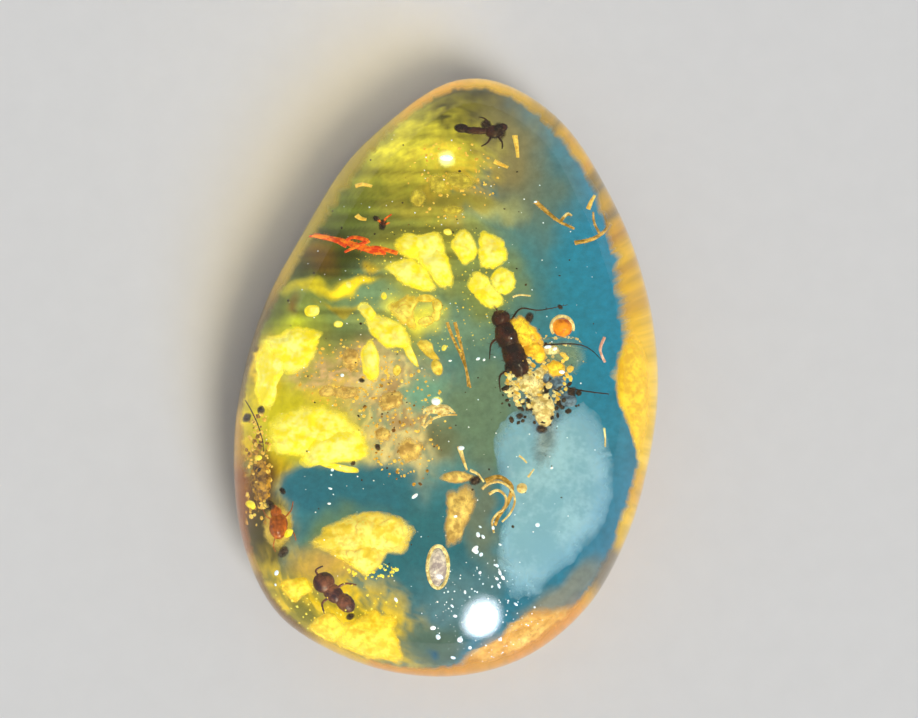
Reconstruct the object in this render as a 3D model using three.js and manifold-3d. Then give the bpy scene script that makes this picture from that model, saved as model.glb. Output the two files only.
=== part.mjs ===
// Insect in amber: an egg-shaped, polished drop of blue amber with a flat back.
// Insects, rootlets and yellow flakes lie sealed on one old resin flow inside it.
// Millimetres. +X is the right side, +Y the narrow end, +Z up from the flat back.

import * as THREE from 'three';
import { mergeVertices } from 'three/addons/utils/BufferGeometryUtils.js';
import Module from 'manifold-3d';

const wasm = await Module();
wasm.setup();

// The stone: 18.0 wide, 25.6 long, 8.5 high
const HEIGHT = 8.5;
const GIRDLE = 2.6;
const FOOT_SHARE = 0.8;
const DOME_FULLNESS = 2.3;
const STONE_SIDES = 40;
const DOME_RINGS = 8;
const EDGE_RINGS = 3;

// The top of the dome, and the rim seen from above
const APEX = new THREE.Vector2(0, -1.2);
const RIM_SAMPLES = 720;
const RIM = [
  [9.0, -0.5], [8.7, 2.8], [7.8, 5.95], [6.5, 8.65], [4.9, 11.0], [2.9, 12.35], [1.1, 12.9],
  [-0.85, 12.15], [-2.7, 10.7], [-4.3, 9.1], [-6.25, 5.85], [-7.7, 3.05], [-8.65, -0.15],
  [-9.0, -3.3], [-8.6, -7.1], [-7.2, -10.05], [-5.1, -11.6], [-2.55, -12.55], [0.15, -12.8],
  [3.1, -12.1], [5.8, -10.05], [7.6, -7.0], [8.6, -3.65],
];

// The flow that everything settled on, and the parting left between the two halves there
const FLOW_MIDDLE = 4.4;
const FLOW_RIM = 2.4;
const PARTING_GAP = 0.1;
const FLOW_SIDES = 20;
const FLOW_SHARES = [1.3, 0.8, 0.4];

// Amber bends light, so a place measured through the dome is worked back to where it really is
const INDEX = 1.54;
const EYE = new THREE.Vector3(0.53, -12.27, 94.2);
const SLOPE_STEP = 0.1;
const BENDING_PASSES = 6;
const SEEN_LIMIT = 0.985;

// Room round each sealed thing, and how near the rim a thing or its pocket may be seen
const POCKET_ROOM = 0.4;
const THING_REACH = 0.92;
const POCKET_REACH = 0.985;

// Facets, and the cushion section of a lump as shares of its radius and half thickness
const NUGGET_SIDES = 10;
const POCKET_SIDES = 8;
const LIMB_SIDES = 4;
const CUSHION = [[0, -1], [0.6, -0.85], [1, 0], [0.6, 0.85], [0, 1]];
const SAME_CORNER = 1e-4;

// Colour and roughness of each finish; nothing here is metal
const FINISH = {
  amber: { color: 0x2f7f94, roughness: 0.05, opacity: 0.4, transparent: true },
  yellow: { color: 0xf2e233, roughness: 0.6 },
  gold: { color: 0xd9a52a, roughness: 0.5 },
  crumb: { color: 0xa68a5c, roughness: 0.8 },
  husk: { color: 0x2b1a12, roughness: 0.45 },
  beetle: { color: 0x7a3a12, roughness: 0.4 },
  root: { color: 0xc7431a, roughness: 0.6 },
  twig: { color: 0xb38a2e, roughness: 0.6 },
  pale: { color: 0xd8cf8a, roughness: 0.5 },
  bead: { color: 0xb86a1a, roughness: 0.2 },
};

// Rim radius round the apex, from a closed curve through the rim points
const rimCurve = new THREE.CatmullRomCurve3(
  RIM.map(([x, y]) => new THREE.Vector3(x - APEX.x, y - APEX.y, 0)), true);
const rimTrace = rimCurve.getPoints(RIM_SAMPLES).map((p) => ({
  angle: wrap(Math.atan2(p.y, p.x)),
  radius: Math.hypot(p.x, p.y),
})).sort((a, b) => a.angle - b.angle);

function wrap(angle) {
  const turn = 2 * Math.PI;
  return ((angle % turn) + turn) % turn;
}

function rimRadius(angle) {
  const wanted = wrap(angle);
  const found = Math.max(rimTrace.findIndex((sample) => sample.angle >= wanted), 0);
  const after = rimTrace[found];
  const before = rimTrace.at(found - 1);
  const gap = wrap(after.angle - before.angle);
  const part = gap > 0 ? wrap(wanted - before.angle) / gap : 0;
  return THREE.MathUtils.lerp(before.radius, after.radius, part);
}

// How far out a point lies: 0 at the apex's foot, 1 on the rim
function shareOut(x, y) {
  const dx = x - APEX.x;
  const dy = y - APEX.y;
  return Math.hypot(dx, dy) / rimRadius(Math.atan2(dy, dx));
}

function domeHeight(x, y) {
  const share = Math.min(shareOut(x, y), SEEN_LIMIT);
  return GIRDLE + (HEIGHT - GIRDLE) * Math.sqrt(1 - share ** DOME_FULLNESS);
}

function flowHeight(x, y) {
  return FLOW_MIDDLE - (FLOW_MIDDLE - FLOW_RIM) * shareOut(x, y) ** 2;
}

function domeNormal(x, y) {
  const slopeX = (domeHeight(x + SLOPE_STEP, y) - domeHeight(x - SLOPE_STEP, y)) / (2 * SLOPE_STEP);
  const slopeY = (domeHeight(x, y + SLOPE_STEP) - domeHeight(x, y - SLOPE_STEP)) / (2 * SLOPE_STEP);
  return new THREE.Vector3(-slopeX, -slopeY, 1).normalize();
}

// The place on the flow of what is seen at (x, y) on the girdle's level, raised by lift
function spot(x, y, lift = 0) {
  const sight = new THREE.Vector3(x, y, GIRDLE).sub(EYE).normalize();
  const entry = new THREE.Vector3(x, y, GIRDLE);
  for (let pass = 0; pass < BENDING_PASSES; pass += 1) {
    const rise = domeHeight(entry.x, entry.y) - entry.z;
    entry.addScaledVector(sight, rise / sight.z);
  }
  const normal = domeNormal(entry.x, entry.y);
  const cosIn = -sight.dot(normal);
  const cosOut = Math.sqrt(1 - (1 - cosIn ** 2) / INDEX ** 2);
  const bent = sight.clone().divideScalar(INDEX).addScaledVector(normal, cosIn / INDEX - cosOut);
  const place = entry.clone();
  for (let pass = 0; pass < BENDING_PASSES; pass += 1) {
    const drop = place.z - flowHeight(place.x, place.y) - lift;
    place.addScaledVector(bent, -drop / bent.z);
  }
  return place;
}

// Solids: joining and cutting of closed meshes
function toSolid(geometry) {
  const bare = geometry.clone();
  bare.deleteAttribute('normal');
  bare.deleteAttribute('uv');
  const merged = mergeVertices(bare, SAME_CORNER);
  const corners = Array.from(merged.index.array);
  const whole = [];
  for (let i = 0; i < corners.length; i += 3) {
    const [a, b, c] = corners.slice(i, i + 3);
    if (a !== b && b !== c && c !== a) {
      whole.push(a, b, c);
    }
  }
  return new wasm.Manifold(new wasm.Mesh({
    numProp: 3,
    vertProperties: merged.attributes.position.array,
    triVerts: Uint32Array.from(whole),
  }));
}

function toGeometry(solid) {
  const { vertProperties, triVerts } = solid.getMesh();
  const geometry = new THREE.BufferGeometry();
  geometry.setAttribute('position', new THREE.BufferAttribute(vertProperties, 3));
  geometry.setIndex(new THREE.BufferAttribute(triVerts, 1));
  geometry.computeVertexNormals();
  return geometry;
}

function join(solids) {
  return solids.reduce((whole, solid) => whole.add(solid));
}

// A turned profile of (share, height) points, each corner then moved by place(share, angle, height)
function turned(profile, sides, place) {
  const lathe = new THREE.LatheGeometry(profile.map(([share, z]) => new THREE.Vector2(share, z)), sides);
  const corner = lathe.attributes.position;
  for (let i = 0; i < corner.count; i += 1) {
    const share = Math.hypot(corner.getX(i), corner.getZ(i));
    const angle = Math.atan2(-corner.getZ(i), corner.getX(i));
    const moved = place(share, angle, corner.getY(i));
    corner.setXYZ(i, moved.x, moved.y, moved.z);
  }
  return toSolid(lathe);
}

function overRim(share, angle, z) {
  const radius = share * rimRadius(angle);
  return new THREE.Vector3(APEX.x + radius * Math.cos(angle), APEX.y + radius * Math.sin(angle), z);
}

// The whole stone: flat back, rounded edge, girdle and dome
function stone() {
  const profile = [[0, 0], [FOOT_SHARE / 2, 0]];
  for (let ring = 0; ring < EDGE_RINGS; ring += 1) {
    const turn = (ring / EDGE_RINGS) * (Math.PI / 2);
    profile.push([FOOT_SHARE + (1 - FOOT_SHARE) * Math.sin(turn), GIRDLE * (1 - Math.cos(turn))]);
  }
  for (let ring = 0; ring < DOME_RINGS; ring += 1) {
    const turn = (1 - ring / DOME_RINGS) * (Math.PI / 2);
    const share = Math.sin(turn) ** (2 / DOME_FULLNESS);
    profile.push([share, GIRDLE + (HEIGHT - GIRDLE) * Math.cos(turn)]);
  }
  profile.push([0, HEIGHT]);
  return turned(profile, STONE_SIDES, overRim);
}

// Everything under the flow surface, raised by lift; it reaches past the stone all round
function underFlow(lift) {
  const belowBack = -1;
  const level = (share) => FLOW_MIDDLE - (FLOW_MIDDLE - FLOW_RIM) * share ** 2 + lift;
  const profile = [[0, belowBack], [FLOW_SHARES[0], belowBack]];
  FLOW_SHARES.forEach((share) => profile.push([share, level(share)]));
  profile.push([0, level(0)]);
  return turned(profile, FLOW_SIDES, overRim);
}

// A flattish lump on the flow. Radii go round anticlockwise from +X, evenly spaced, as seen.
function nugget({ at, radii, thick, lift = 0, room = 0 }) {
  const outline = new THREE.CatmullRomCurve3(
    radii.map((radius, i) => {
      const angle = (i / radii.length) * 2 * Math.PI;
      return new THREE.Vector3(Math.cos(angle), Math.sin(angle), 0).multiplyScalar(radius + room);
    }), true);
  const reach = room > 0 ? POCKET_REACH : THING_REACH;
  const half = thick / 2 + room;
  const sides = room > 0 ? POCKET_SIDES : NUGGET_SIDES;
  return turned(CUSHION, sides, (share, angle, z) => {
    const edge = outline.getPoint(wrap(angle) / (2 * Math.PI));
    let x = at[0] + share * edge.x;
    let y = at[1] + share * edge.y;
    const pull = Math.min(1, reach / shareOut(x, y));
    x = APEX.x + (x - APEX.x) * pull;
    y = APEX.y + (y - APEX.y) * pull;
    return spot(x, y, lift).add(new THREE.Vector3(0, 0, z * half));
  });
}

// A round body part at a seen place; size is its half widths along x, y, z, turned in plan
function ball([x, y, lift = 0], size, turn = 0) {
  const [rx, ry, rz] = Array.isArray(size) ? size : [size, size, size];
  const sphere = new THREE.IcosahedronGeometry(1, 1);
  sphere.scale(rx, ry, rz);
  sphere.rotateZ(turn);
  sphere.translate(...spot(x, y, lift).toArray());
  return toSolid(sphere);
}

// A thin limb or fibre along seen places (x, y, lift), tapering from one radius to another
function limb(places, startRadius, endRadius) {
  const points = places.map(([x, y, lift = 0]) => spot(x, y, lift));
  const links = points.length - 1;
  const rod = new THREE.CylinderGeometry(1, 1, links, LIMB_SIDES, links);
  const corner = rod.attributes.position;
  const up = new THREE.Vector3(0, 0, 1);
  for (let i = 0; i < corner.count; i += 1) {
    const knot = Math.round(corner.getY(i) + links / 2);
    const before = points[Math.max(knot - 1, 0)];
    const after = points[Math.min(knot + 1, links)];
    const side = after.clone().sub(before).cross(up).normalize();
    const radius = THREE.MathUtils.lerp(startRadius, endRadius, knot / links);
    const moved = points[knot].clone()
      .addScaledVector(side, radius * corner.getX(i))
      .addScaledVector(up, radius * corner.getZ(i));
    corner.setXYZ(i, moved.x, moved.y, moved.z);
  }
  return toSolid(rod);
}

// Each sealed thing has a name, a finish and a solid; the pockets hold one or a few of them
const sealed = [];
const pockets = [];

function seal(name, finish, solid) {
  sealed.push({ name, finish, solid });
}

function openPocket(at, radii, thick) {
  pockets.push(nugget({ at, radii, thick, room: POCKET_ROOM }));
}

// A lump in a pocket of its own
function sealAlone(name, finish, lump) {
  seal(name, finish, nugget(lump));
  pockets.push(nugget({ ...lump, room: POCKET_ROOM }));
}

// A thing of one or more lumps, in a pocket that it shares
function sealTogether(name, finish, ...lumps) {
  seal(name, finish, join(lumps.map((lump) => nugget(lump))));
}

// Yellow flakes of the left side
sealAlone('flake_left_upper', 'yellow',
  { at: [-6.65, 0.65], radii: [1.3, 1.6, 1.3, 1.45, 1.6, 2.0, 1.5, 1.1], thick: 1.1 });
sealAlone('flake_left_middle', 'yellow',
  { at: [-5.45, -2.8], radii: [2.2, 1.7, 1.45, 1.6, 2.0, 1.5, 1.2, 1.9], thick: 1.3 });
sealAlone('flake_fan', 'yellow',
  { at: [-3.65, -7.1], radii: [2.35, 1.45, 1.2, 1.3, 2.3, 1.3, 1.1, 1.6], thick: 1.1 });
sealAlone('flake_lower_left', 'yellow',
  { at: [-3.5, -11.2], radii: [1.8, 1.2, 0.7, 1.0, 2.3, 1.5, 1.2, 1.6], thick: 1.0 });
sealAlone('flake_lower_lumps', 'yellow',
  { at: [-6.3, -9.0], radii: [0.8, 0.5, 0.5, 0.75, 0.7, 0.45, 0.4, 0.6], thick: 0.7 });
sealAlone('bright_bead', 'yellow',
  { at: [-5.7, 2.85], radii: [0.32, 0.28, 0.26, 0.28, 0.32, 0.28, 0.26, 0.28], thick: 0.5 });
sealAlone('flake_top', 'gold',
  { at: [0.15, 8.2], radii: [0.75, 0.6, 0.75, 0.75, 0.7, 0.55, 0.6, 0.6], thick: 0.8 });

// Two lobed flakes above the middle, side by side
sealTogether('flake_crumpled', 'yellow',
  { at: [-1.1, 5.4], radii: [1.15, 1.0, 0.85, 0.95, 0.9, 0.9, 0.8, 0.95], thick: 1.0 },
  { at: [-1.15, 4.2], radii: [1.45, 1.0, 0.8, 1.0, 1.45, 0.8, 0.6, 0.9], thick: 1.0, lift: -0.1 });
sealTogether('flake_four_lobed', 'yellow',
  { at: [0.85, 5.45], radii: [0.65, 0.6, 0.7, 0.55, 0.4, 0.5, 0.7, 0.65], thick: 0.8 },
  { at: [2.1, 5.3], radii: [0.75, 0.85, 0.9, 0.8, 0.75, 0.75, 0.9, 0.8], thick: 0.9 },
  { at: [1.6, 3.9], radii: [0.9, 0.8, 0.85, 0.8, 0.8, 0.7, 0.85, 0.8], thick: 0.9 },
  { at: [2.45, 4.1], radii: [0.65, 0.6, 0.65, 0.6, 0.6, 0.6, 0.6, 0.6], thick: 0.7 });
openPocket([0.4, 4.7], [3.1, 2.7, 1.9, 2.6, 3.4, 2.6, 2.2, 2.8], 1.5);

// Four smaller flakes in the middle
sealTogether('flake_diagonal', 'yellow',
  { at: [-2.75, 1.9], radii: [0.7, 0.55, 0.7, 1.4, 0.7, 0.5, 0.75, 1.7], thick: 0.8 });
sealTogether('flake_oval', 'yellow',
  { at: [-3.45, 0.25], radii: [0.36, 0.45, 0.75, 0.5, 0.4, 0.5, 0.8, 0.5], thick: 0.6, lift: -0.1 });
sealTogether('flake_ring', 'yellow',
  { at: [-1.7, 2.75], radii: [0.65, 0.55, 0.4, 0.45, 0.45, 0.4, 0.5, 0.6], thick: 0.6 },
  { at: [-0.7, 2.6], radii: [0.45, 0.45, 0.4, 0.4, 0.5, 0.4, 0.45, 0.45], thick: 0.6 });
sealTogether('flake_small', 'yellow',
  { at: [-0.6, 0.6], radii: [0.4, 0.35, 0.55, 0.65, 0.4, 0.35, 0.55, 0.7], thick: 0.6 });
openPocket([-2.0, 1.5], [2.2, 2.2, 1.9, 2.3, 2.1, 2.7, 2.2, 2.5], 1.3);

// Golden and brown debris
sealAlone('rim_crescent_right', 'gold',
  { at: [7.95, -0.5], radii: [1.1, 2.3, 4.3, 1.2, 0.7, 0.9, 1.8, 2.3], thick: 0.8 });
sealAlone('rim_crescent_lower', 'gold',
  { at: [4.4, -10.2], radii: [1.7, 1.1, 0.6, 0.8, 1.9, 1.8, 1.1, 1.2], thick: 0.8 });
sealAlone('rim_debris_left', 'crumb',
  { at: [-7.95, -4.6], radii: [0.45, 0.7, 1.1, 0.6, 0.3, 0.6, 1.2, 0.7], thick: 0.7 });
sealAlone('crumbs_upper', 'crumb',
  { at: [-1.9, -1.75], radii: [0.35, 0.55, 0.75, 0.75, 0.8, 0.7, 0.6, 0.5], thick: 0.6 });
sealAlone('crumbs_lower', 'crumb',
  { at: [-1.2, -3.6], radii: [0.8, 0.75, 0.6, 0.65, 0.85, 0.8, 0.8, 0.85], thick: 0.8 });
sealTogether('brown_lump', 'gold',
  { at: [0.45, -4.4], radii: [0.7, 0.35, 0.3, 0.4, 0.85, 0.4, 0.5, 0.55], thick: 0.6 },
  { at: [0.55, -6.2], radii: [0.65, 0.75, 1.6, 0.7, 0.55, 0.75, 1.2, 0.8], thick: 0.9 });
seal('curled_shaving', 'twig',
  limb([[1.65, -4.6], [2.25, -4.45], [2.75, -4.85], [2.6, -5.5], [2.2, -6.1], [2.05, -6.5]], 0.13, 0.08));
openPocket([1.1, -5.3], [2.0, 1.7, 1.3, 1.7, 1.5, 2.0, 2.3, 1.8], 1.0);

// The large insect, on its side under its fallen wing, with the crumbs caught against it
seal('large_insect', 'husk', join([
  ball([2.33, 2.4], [0.3, 0.32, 0.3]),
  ball([2.6, 1.65], [0.36, 0.45, 0.36], 0.35),
  ball([3.0, 0.5], [0.38, 0.78, 0.36], 0.4),
  limb([[2.6, 1.9], [3.15, 2.75, -0.1], [4.0, 2.7, 0.1], [5.2, 2.95, 0.1]], 0.1, 0.05),
  limb([[2.7, 1.5], [3.6, 1.2, -0.48], [5.7, 1.2, -0.4], [6.6, 0.55, -0.2]], 0.09, 0.04),
  limb([[3.0, 0.6], [4.0, -0.2, -0.48], [5.5, -0.7, -0.45], [6.9, -0.9, -0.2]], 0.09, 0.04),
  limb([[2.5, 1.6], [1.95, 1.3, 0.1], [1.85, 0.6]], 0.09, 0.05),
  limb([[2.9, 0.2], [2.3, -0.1, 0.1], [2.3, -0.8]], 0.09, 0.05),
  limb([[2.3, 2.5], [2.0, 2.95, 0.15], [1.7, 3.0, 0.2]], 0.05, 0.04),
]));
openPocket([4.3, 0.5], [3.0, 2.9, 2.9, 3.1, 2.9, 2.5, 3.0, 3.0], 2.0);
sealTogether('insect_wing', 'pale',
  { at: [4.75, 0.7], radii: [1.3, 1.1, 0.8, 1.0, 1.1, 0.9, 0.9, 1.1], thick: 0.08, lift: -0.68 });
seal('yellow_crumbs', 'yellow', join([
  ball([3.65, 2.0], [0.36, 0.42, 0.34]),
  ball([4.05, 1.25], [0.4, 0.46, 0.34]),
  ball([4.5, 0.55], [0.42, 0.48, 0.34]),
]));
seal('orange_bead', 'bead', ball([4.95, 1.95], 0.4));
seal('pupa', 'pale', join([
  ball([4.25, -1.35], [0.36, 0.4, 0.34]),
  ball([4.15, -1.95], [0.34, 0.44, 0.32]),
]));
seal('dark_grain', 'husk', ball([5.2, -1.15, 0.1], [0.34, 0.3, 0.3]));

// The small brown beetle near the left rim, in its pale halo of wings
seal('small_beetle', 'beetle', join([
  ball([-7.1, -6.5], [0.33, 0.46, 0.28], -0.15),
  ball([-7.2, -5.95], [0.22, 0.24, 0.2]),
  limb([[-7.1, -6.4], [-6.6, -5.9, 0.05], [-6.5, -5.5]], 0.06, 0.04),
  limb([[-7.1, -6.6], [-6.5, -6.75, 0.05], [-6.35, -7.1]], 0.06, 0.04),
  limb([[-7.1, -6.4], [-7.6, -6.1, 0.05], [-7.8, -5.7]], 0.06, 0.04),
  limb([[-7.1, -6.6], [-7.3, -7.3, 0.05], [-7.2, -7.6]], 0.06, 0.04),
]));
openPocket([-7.05, -6.55], [1.0, 1.3, 1.4, 1.2, 1.0, 1.2, 1.4, 1.2], 1.3);

// The ant beside the lower flakes
seal('ant', 'husk', join([
  ball([-5.2, -8.85], [0.34, 0.3, 0.28]),
  ball([-4.75, -9.35], [0.22, 0.42, 0.22], 0.8),
  ball([-4.3, -9.8], [0.32, 0.4, 0.3], 0.8),
  limb([[-4.8, -9.3], [-4.3, -8.95, 0.05], [-3.8, -9.0]], 0.06, 0.04),
  limb([[-4.7, -9.4], [-5.2, -9.75, 0.05], [-5.1, -10.2]], 0.06, 0.04),
  limb([[-5.2, -8.8], [-5.5, -8.4, 0.1], [-5.2, -8.2, 0.1]], 0.05, 0.04),
]));
openPocket([-4.7, -9.3], [1.3, 1.3, 1.4, 1.2, 1.1, 1.2, 1.2, 1.3], 1.2);

// The midge under the narrow end
seal('midge', 'husk', join([
  ball([2.05, 10.55], [0.32, 0.28, 0.28]),
  ball([2.45, 10.75], [0.17, 0.17, 0.17]),
  ball([1.3, 10.6], [0.55, 0.16, 0.18]),
  ball([0.65, 10.7], [0.22, 0.2, 0.2]),
  limb([[2.0, 10.5], [1.8, 10.1, 0.05], [1.5, 9.9]], 0.05, 0.04),
  limb([[2.1, 10.5], [2.4, 10.1, 0.05], [2.4, 9.8]], 0.05, 0.04),
  limb([[1.9, 10.7], [1.7, 11.1, 0.05], [1.4, 11.2]], 0.05, 0.04),
]));
openPocket([1.5, 10.6], [1.5, 1.2, 0.9, 1.1, 1.3, 1.1, 1.1, 1.3], 1.1);

// Twigs, fibres and small husks
seal('leg_fragment', 'twig', join([
  limb([[3.85, 7.45], [4.45, 6.9], [4.9, 6.55], [5.5, 6.25]], 0.09, 0.06),
  limb([[4.9, 6.55], [5.15, 6.85], [5.4, 6.85]], 0.07, 0.05),
]));
openPocket([4.65, 6.85], [1.1, 0.7, 0.6, 1.2, 0.9, 0.6, 0.6, 1.2], 0.8);
seal('rootlet_branch', 'twig', join([
  limb([[5.5, 5.65], [6.1, 5.75], [6.6, 6.0], [6.95, 6.4], [7.0, 7.1]], 0.09, 0.06),
  limb([[6.95, 6.4], [6.75, 7.0]], 0.08, 0.05),
  limb([[6.6, 6.0], [6.35, 6.5], [6.3, 7.0]], 0.07, 0.05),
]));
openPocket([6.35, 6.25], [0.9, 1.1, 1.1, 0.9, 1.1, 0.9, 0.7, 0.7], 0.8);
seal('red_rootlet', 'root',
  limb([[-5.75, 6.0], [-5.05, 5.85], [-4.4, 5.7], [-3.8, 5.5], [-3.1, 5.3], [-2.6, 5.3]], 0.12, 0.15));
openPocket([-4.2, 5.65], [2.2, 0.8, 0.55, 0.9, 2.3, 0.8, 0.5, 0.8], 1.1);
seal('resin_blade', 'twig',
  limb([[0.35, 2.2], [0.5, 1.6], [0.65, 1.0], [0.85, 0.0], [0.9, -0.6]], 0.1, 0.06));
openPocket([0.65, 0.8], [0.3, 0.5, 1.55, 0.5, 0.3, 0.5, 1.5, 0.5], 0.5);
seal('pale_sliver', 'pale',
  limb([[6.75, 1.55, 0.15], [6.55, 1.0, 0.15], [6.75, 0.45, 0.15]], 0.06, 0.06));
sealAlone('bubble_cap', 'pale',
  { at: [-0.35, -1.6], radii: [0.7, 0.45, 0.3, 0.45, 0.7, 0.35, 0.2, 0.35], thick: 0.5 });
sealAlone('oval_capsule', 'pale',
  { at: [-0.35, -8.25], radii: [0.45, 0.6, 0.95, 0.6, 0.45, 0.6, 0.95, 0.6], thick: 0.8 });

// The clear amber, parted along the flow, with every pocket open to the parting
function amberHalves() {
  const whole = stone();
  const hollow = join(pockets);
  return {
    amber_crown: whole.subtract(underFlow(PARTING_GAP)).subtract(hollow),
    amber_base: whole.intersect(underFlow(0)).subtract(hollow),
  };
}

function piece(name, finish, solid) {
  const material = new THREE.MeshStandardMaterial({ metalness: 0, ...FINISH[finish] });
  const mesh = new THREE.Mesh(toGeometry(solid), material);
  mesh.name = name;
  return mesh;
}

const amberPiece = new THREE.Group();
Object.entries(amberHalves()).forEach(([name, solid]) => amberPiece.add(piece(name, 'amber', solid)));
sealed.forEach(({ name, finish, solid }) => amberPiece.add(piece(name, finish, solid)));

export default amberPiece;
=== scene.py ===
"""Insect in amber: the looks of the stone and of everything sealed in it.

The stone is an egg-shaped cabochon of blue amber with a flat back. Its clear resin is honey
coloured by the light that passes through it, and its depth glows blue. Insects, rootlets and
yellow flakes lie on one old resin flow inside. Lengths are millimetres until a mesh is made.
"""

import logging
import math
from dataclasses import dataclass, field
from enum import Enum
from typing import Callable, Sequence

import bmesh
import bpy
import numpy as np
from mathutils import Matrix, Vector, noise


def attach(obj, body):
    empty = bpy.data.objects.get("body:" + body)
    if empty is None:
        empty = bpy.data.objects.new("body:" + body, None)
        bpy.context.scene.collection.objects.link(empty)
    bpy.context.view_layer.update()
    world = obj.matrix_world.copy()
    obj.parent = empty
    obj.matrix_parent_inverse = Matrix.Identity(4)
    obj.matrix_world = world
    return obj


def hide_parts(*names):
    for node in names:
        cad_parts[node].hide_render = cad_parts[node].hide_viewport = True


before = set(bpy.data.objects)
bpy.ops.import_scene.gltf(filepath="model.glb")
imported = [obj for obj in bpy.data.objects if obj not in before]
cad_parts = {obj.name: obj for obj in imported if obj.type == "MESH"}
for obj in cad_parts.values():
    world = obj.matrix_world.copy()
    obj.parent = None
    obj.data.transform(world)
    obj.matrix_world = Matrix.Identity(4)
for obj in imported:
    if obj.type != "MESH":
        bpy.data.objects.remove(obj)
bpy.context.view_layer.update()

MM = 0.001
LOG = logging.getLogger("amber")
Colour = tuple[float, float, float]
Place = tuple[float, ...]
Level = Callable[[np.ndarray, np.ndarray], np.ndarray]


class Slot(Enum):
    """The record's material slots."""

    CLEAR = "clear_amber"
    YELLOW = "yellow_flake"
    GOLD = "golden_debris"
    CRUMB = "brown_crumb"
    HUSK = "insect_husk"
    BEETLE = "beetle_shell"
    ROOT = "red_root"
    TWIG = "golden_twig"
    PALE = "pale_husk"
    ORANGE = "orange_resin"


class Grain(Enum):
    """What a strewing is made of."""

    CRUMB = "crumb"
    BUBBLE = "bubble"
    HAIR = "hair"


@dataclass(frozen=True)
class Sight:
    """Where the stone is looked at from, and how the picture measures it."""

    target: Place = (0.53, 0.60, 2.6)
    tilt: float = math.radians(8)
    distance: float = 92.47
    lens: float = 85.0
    sensor: float = 36.0
    width: int = 918
    height: int = 718

    @property
    def eye(self) -> np.ndarray:
        """The camera's place."""
        x, y, z = self.target
        return np.array([x, y - self.distance * math.sin(self.tilt),
                         z + self.distance * math.cos(self.tilt)])

    @property
    def scale(self) -> float:
        """Pixels to a millimetre at the target's distance."""
        return self.width * self.lens / (self.sensor * self.distance)

    def seen(self, px: float, py: float) -> tuple[float, float]:
        """Turn a pixel of the picture into the place that it covers on the girdle's level.

        Args:
            px: pixels from the picture's left.
            py: pixels from the picture's top.

        Returns:
            x and y on the girdle's level.
        """
        across = (px - self.width / 2) / self.scale
        up = (self.height / 2 - py) / self.scale
        fall = self.distance * math.cos(self.tilt)
        stretch = fall / (fall - up * math.sin(self.tilt))
        eye = self.eye
        y = eye[1] + stretch * (self.distance * math.sin(self.tilt) + up * math.cos(self.tilt))
        return eye[0] + across * stretch, y


SIGHT = Sight()


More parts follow.
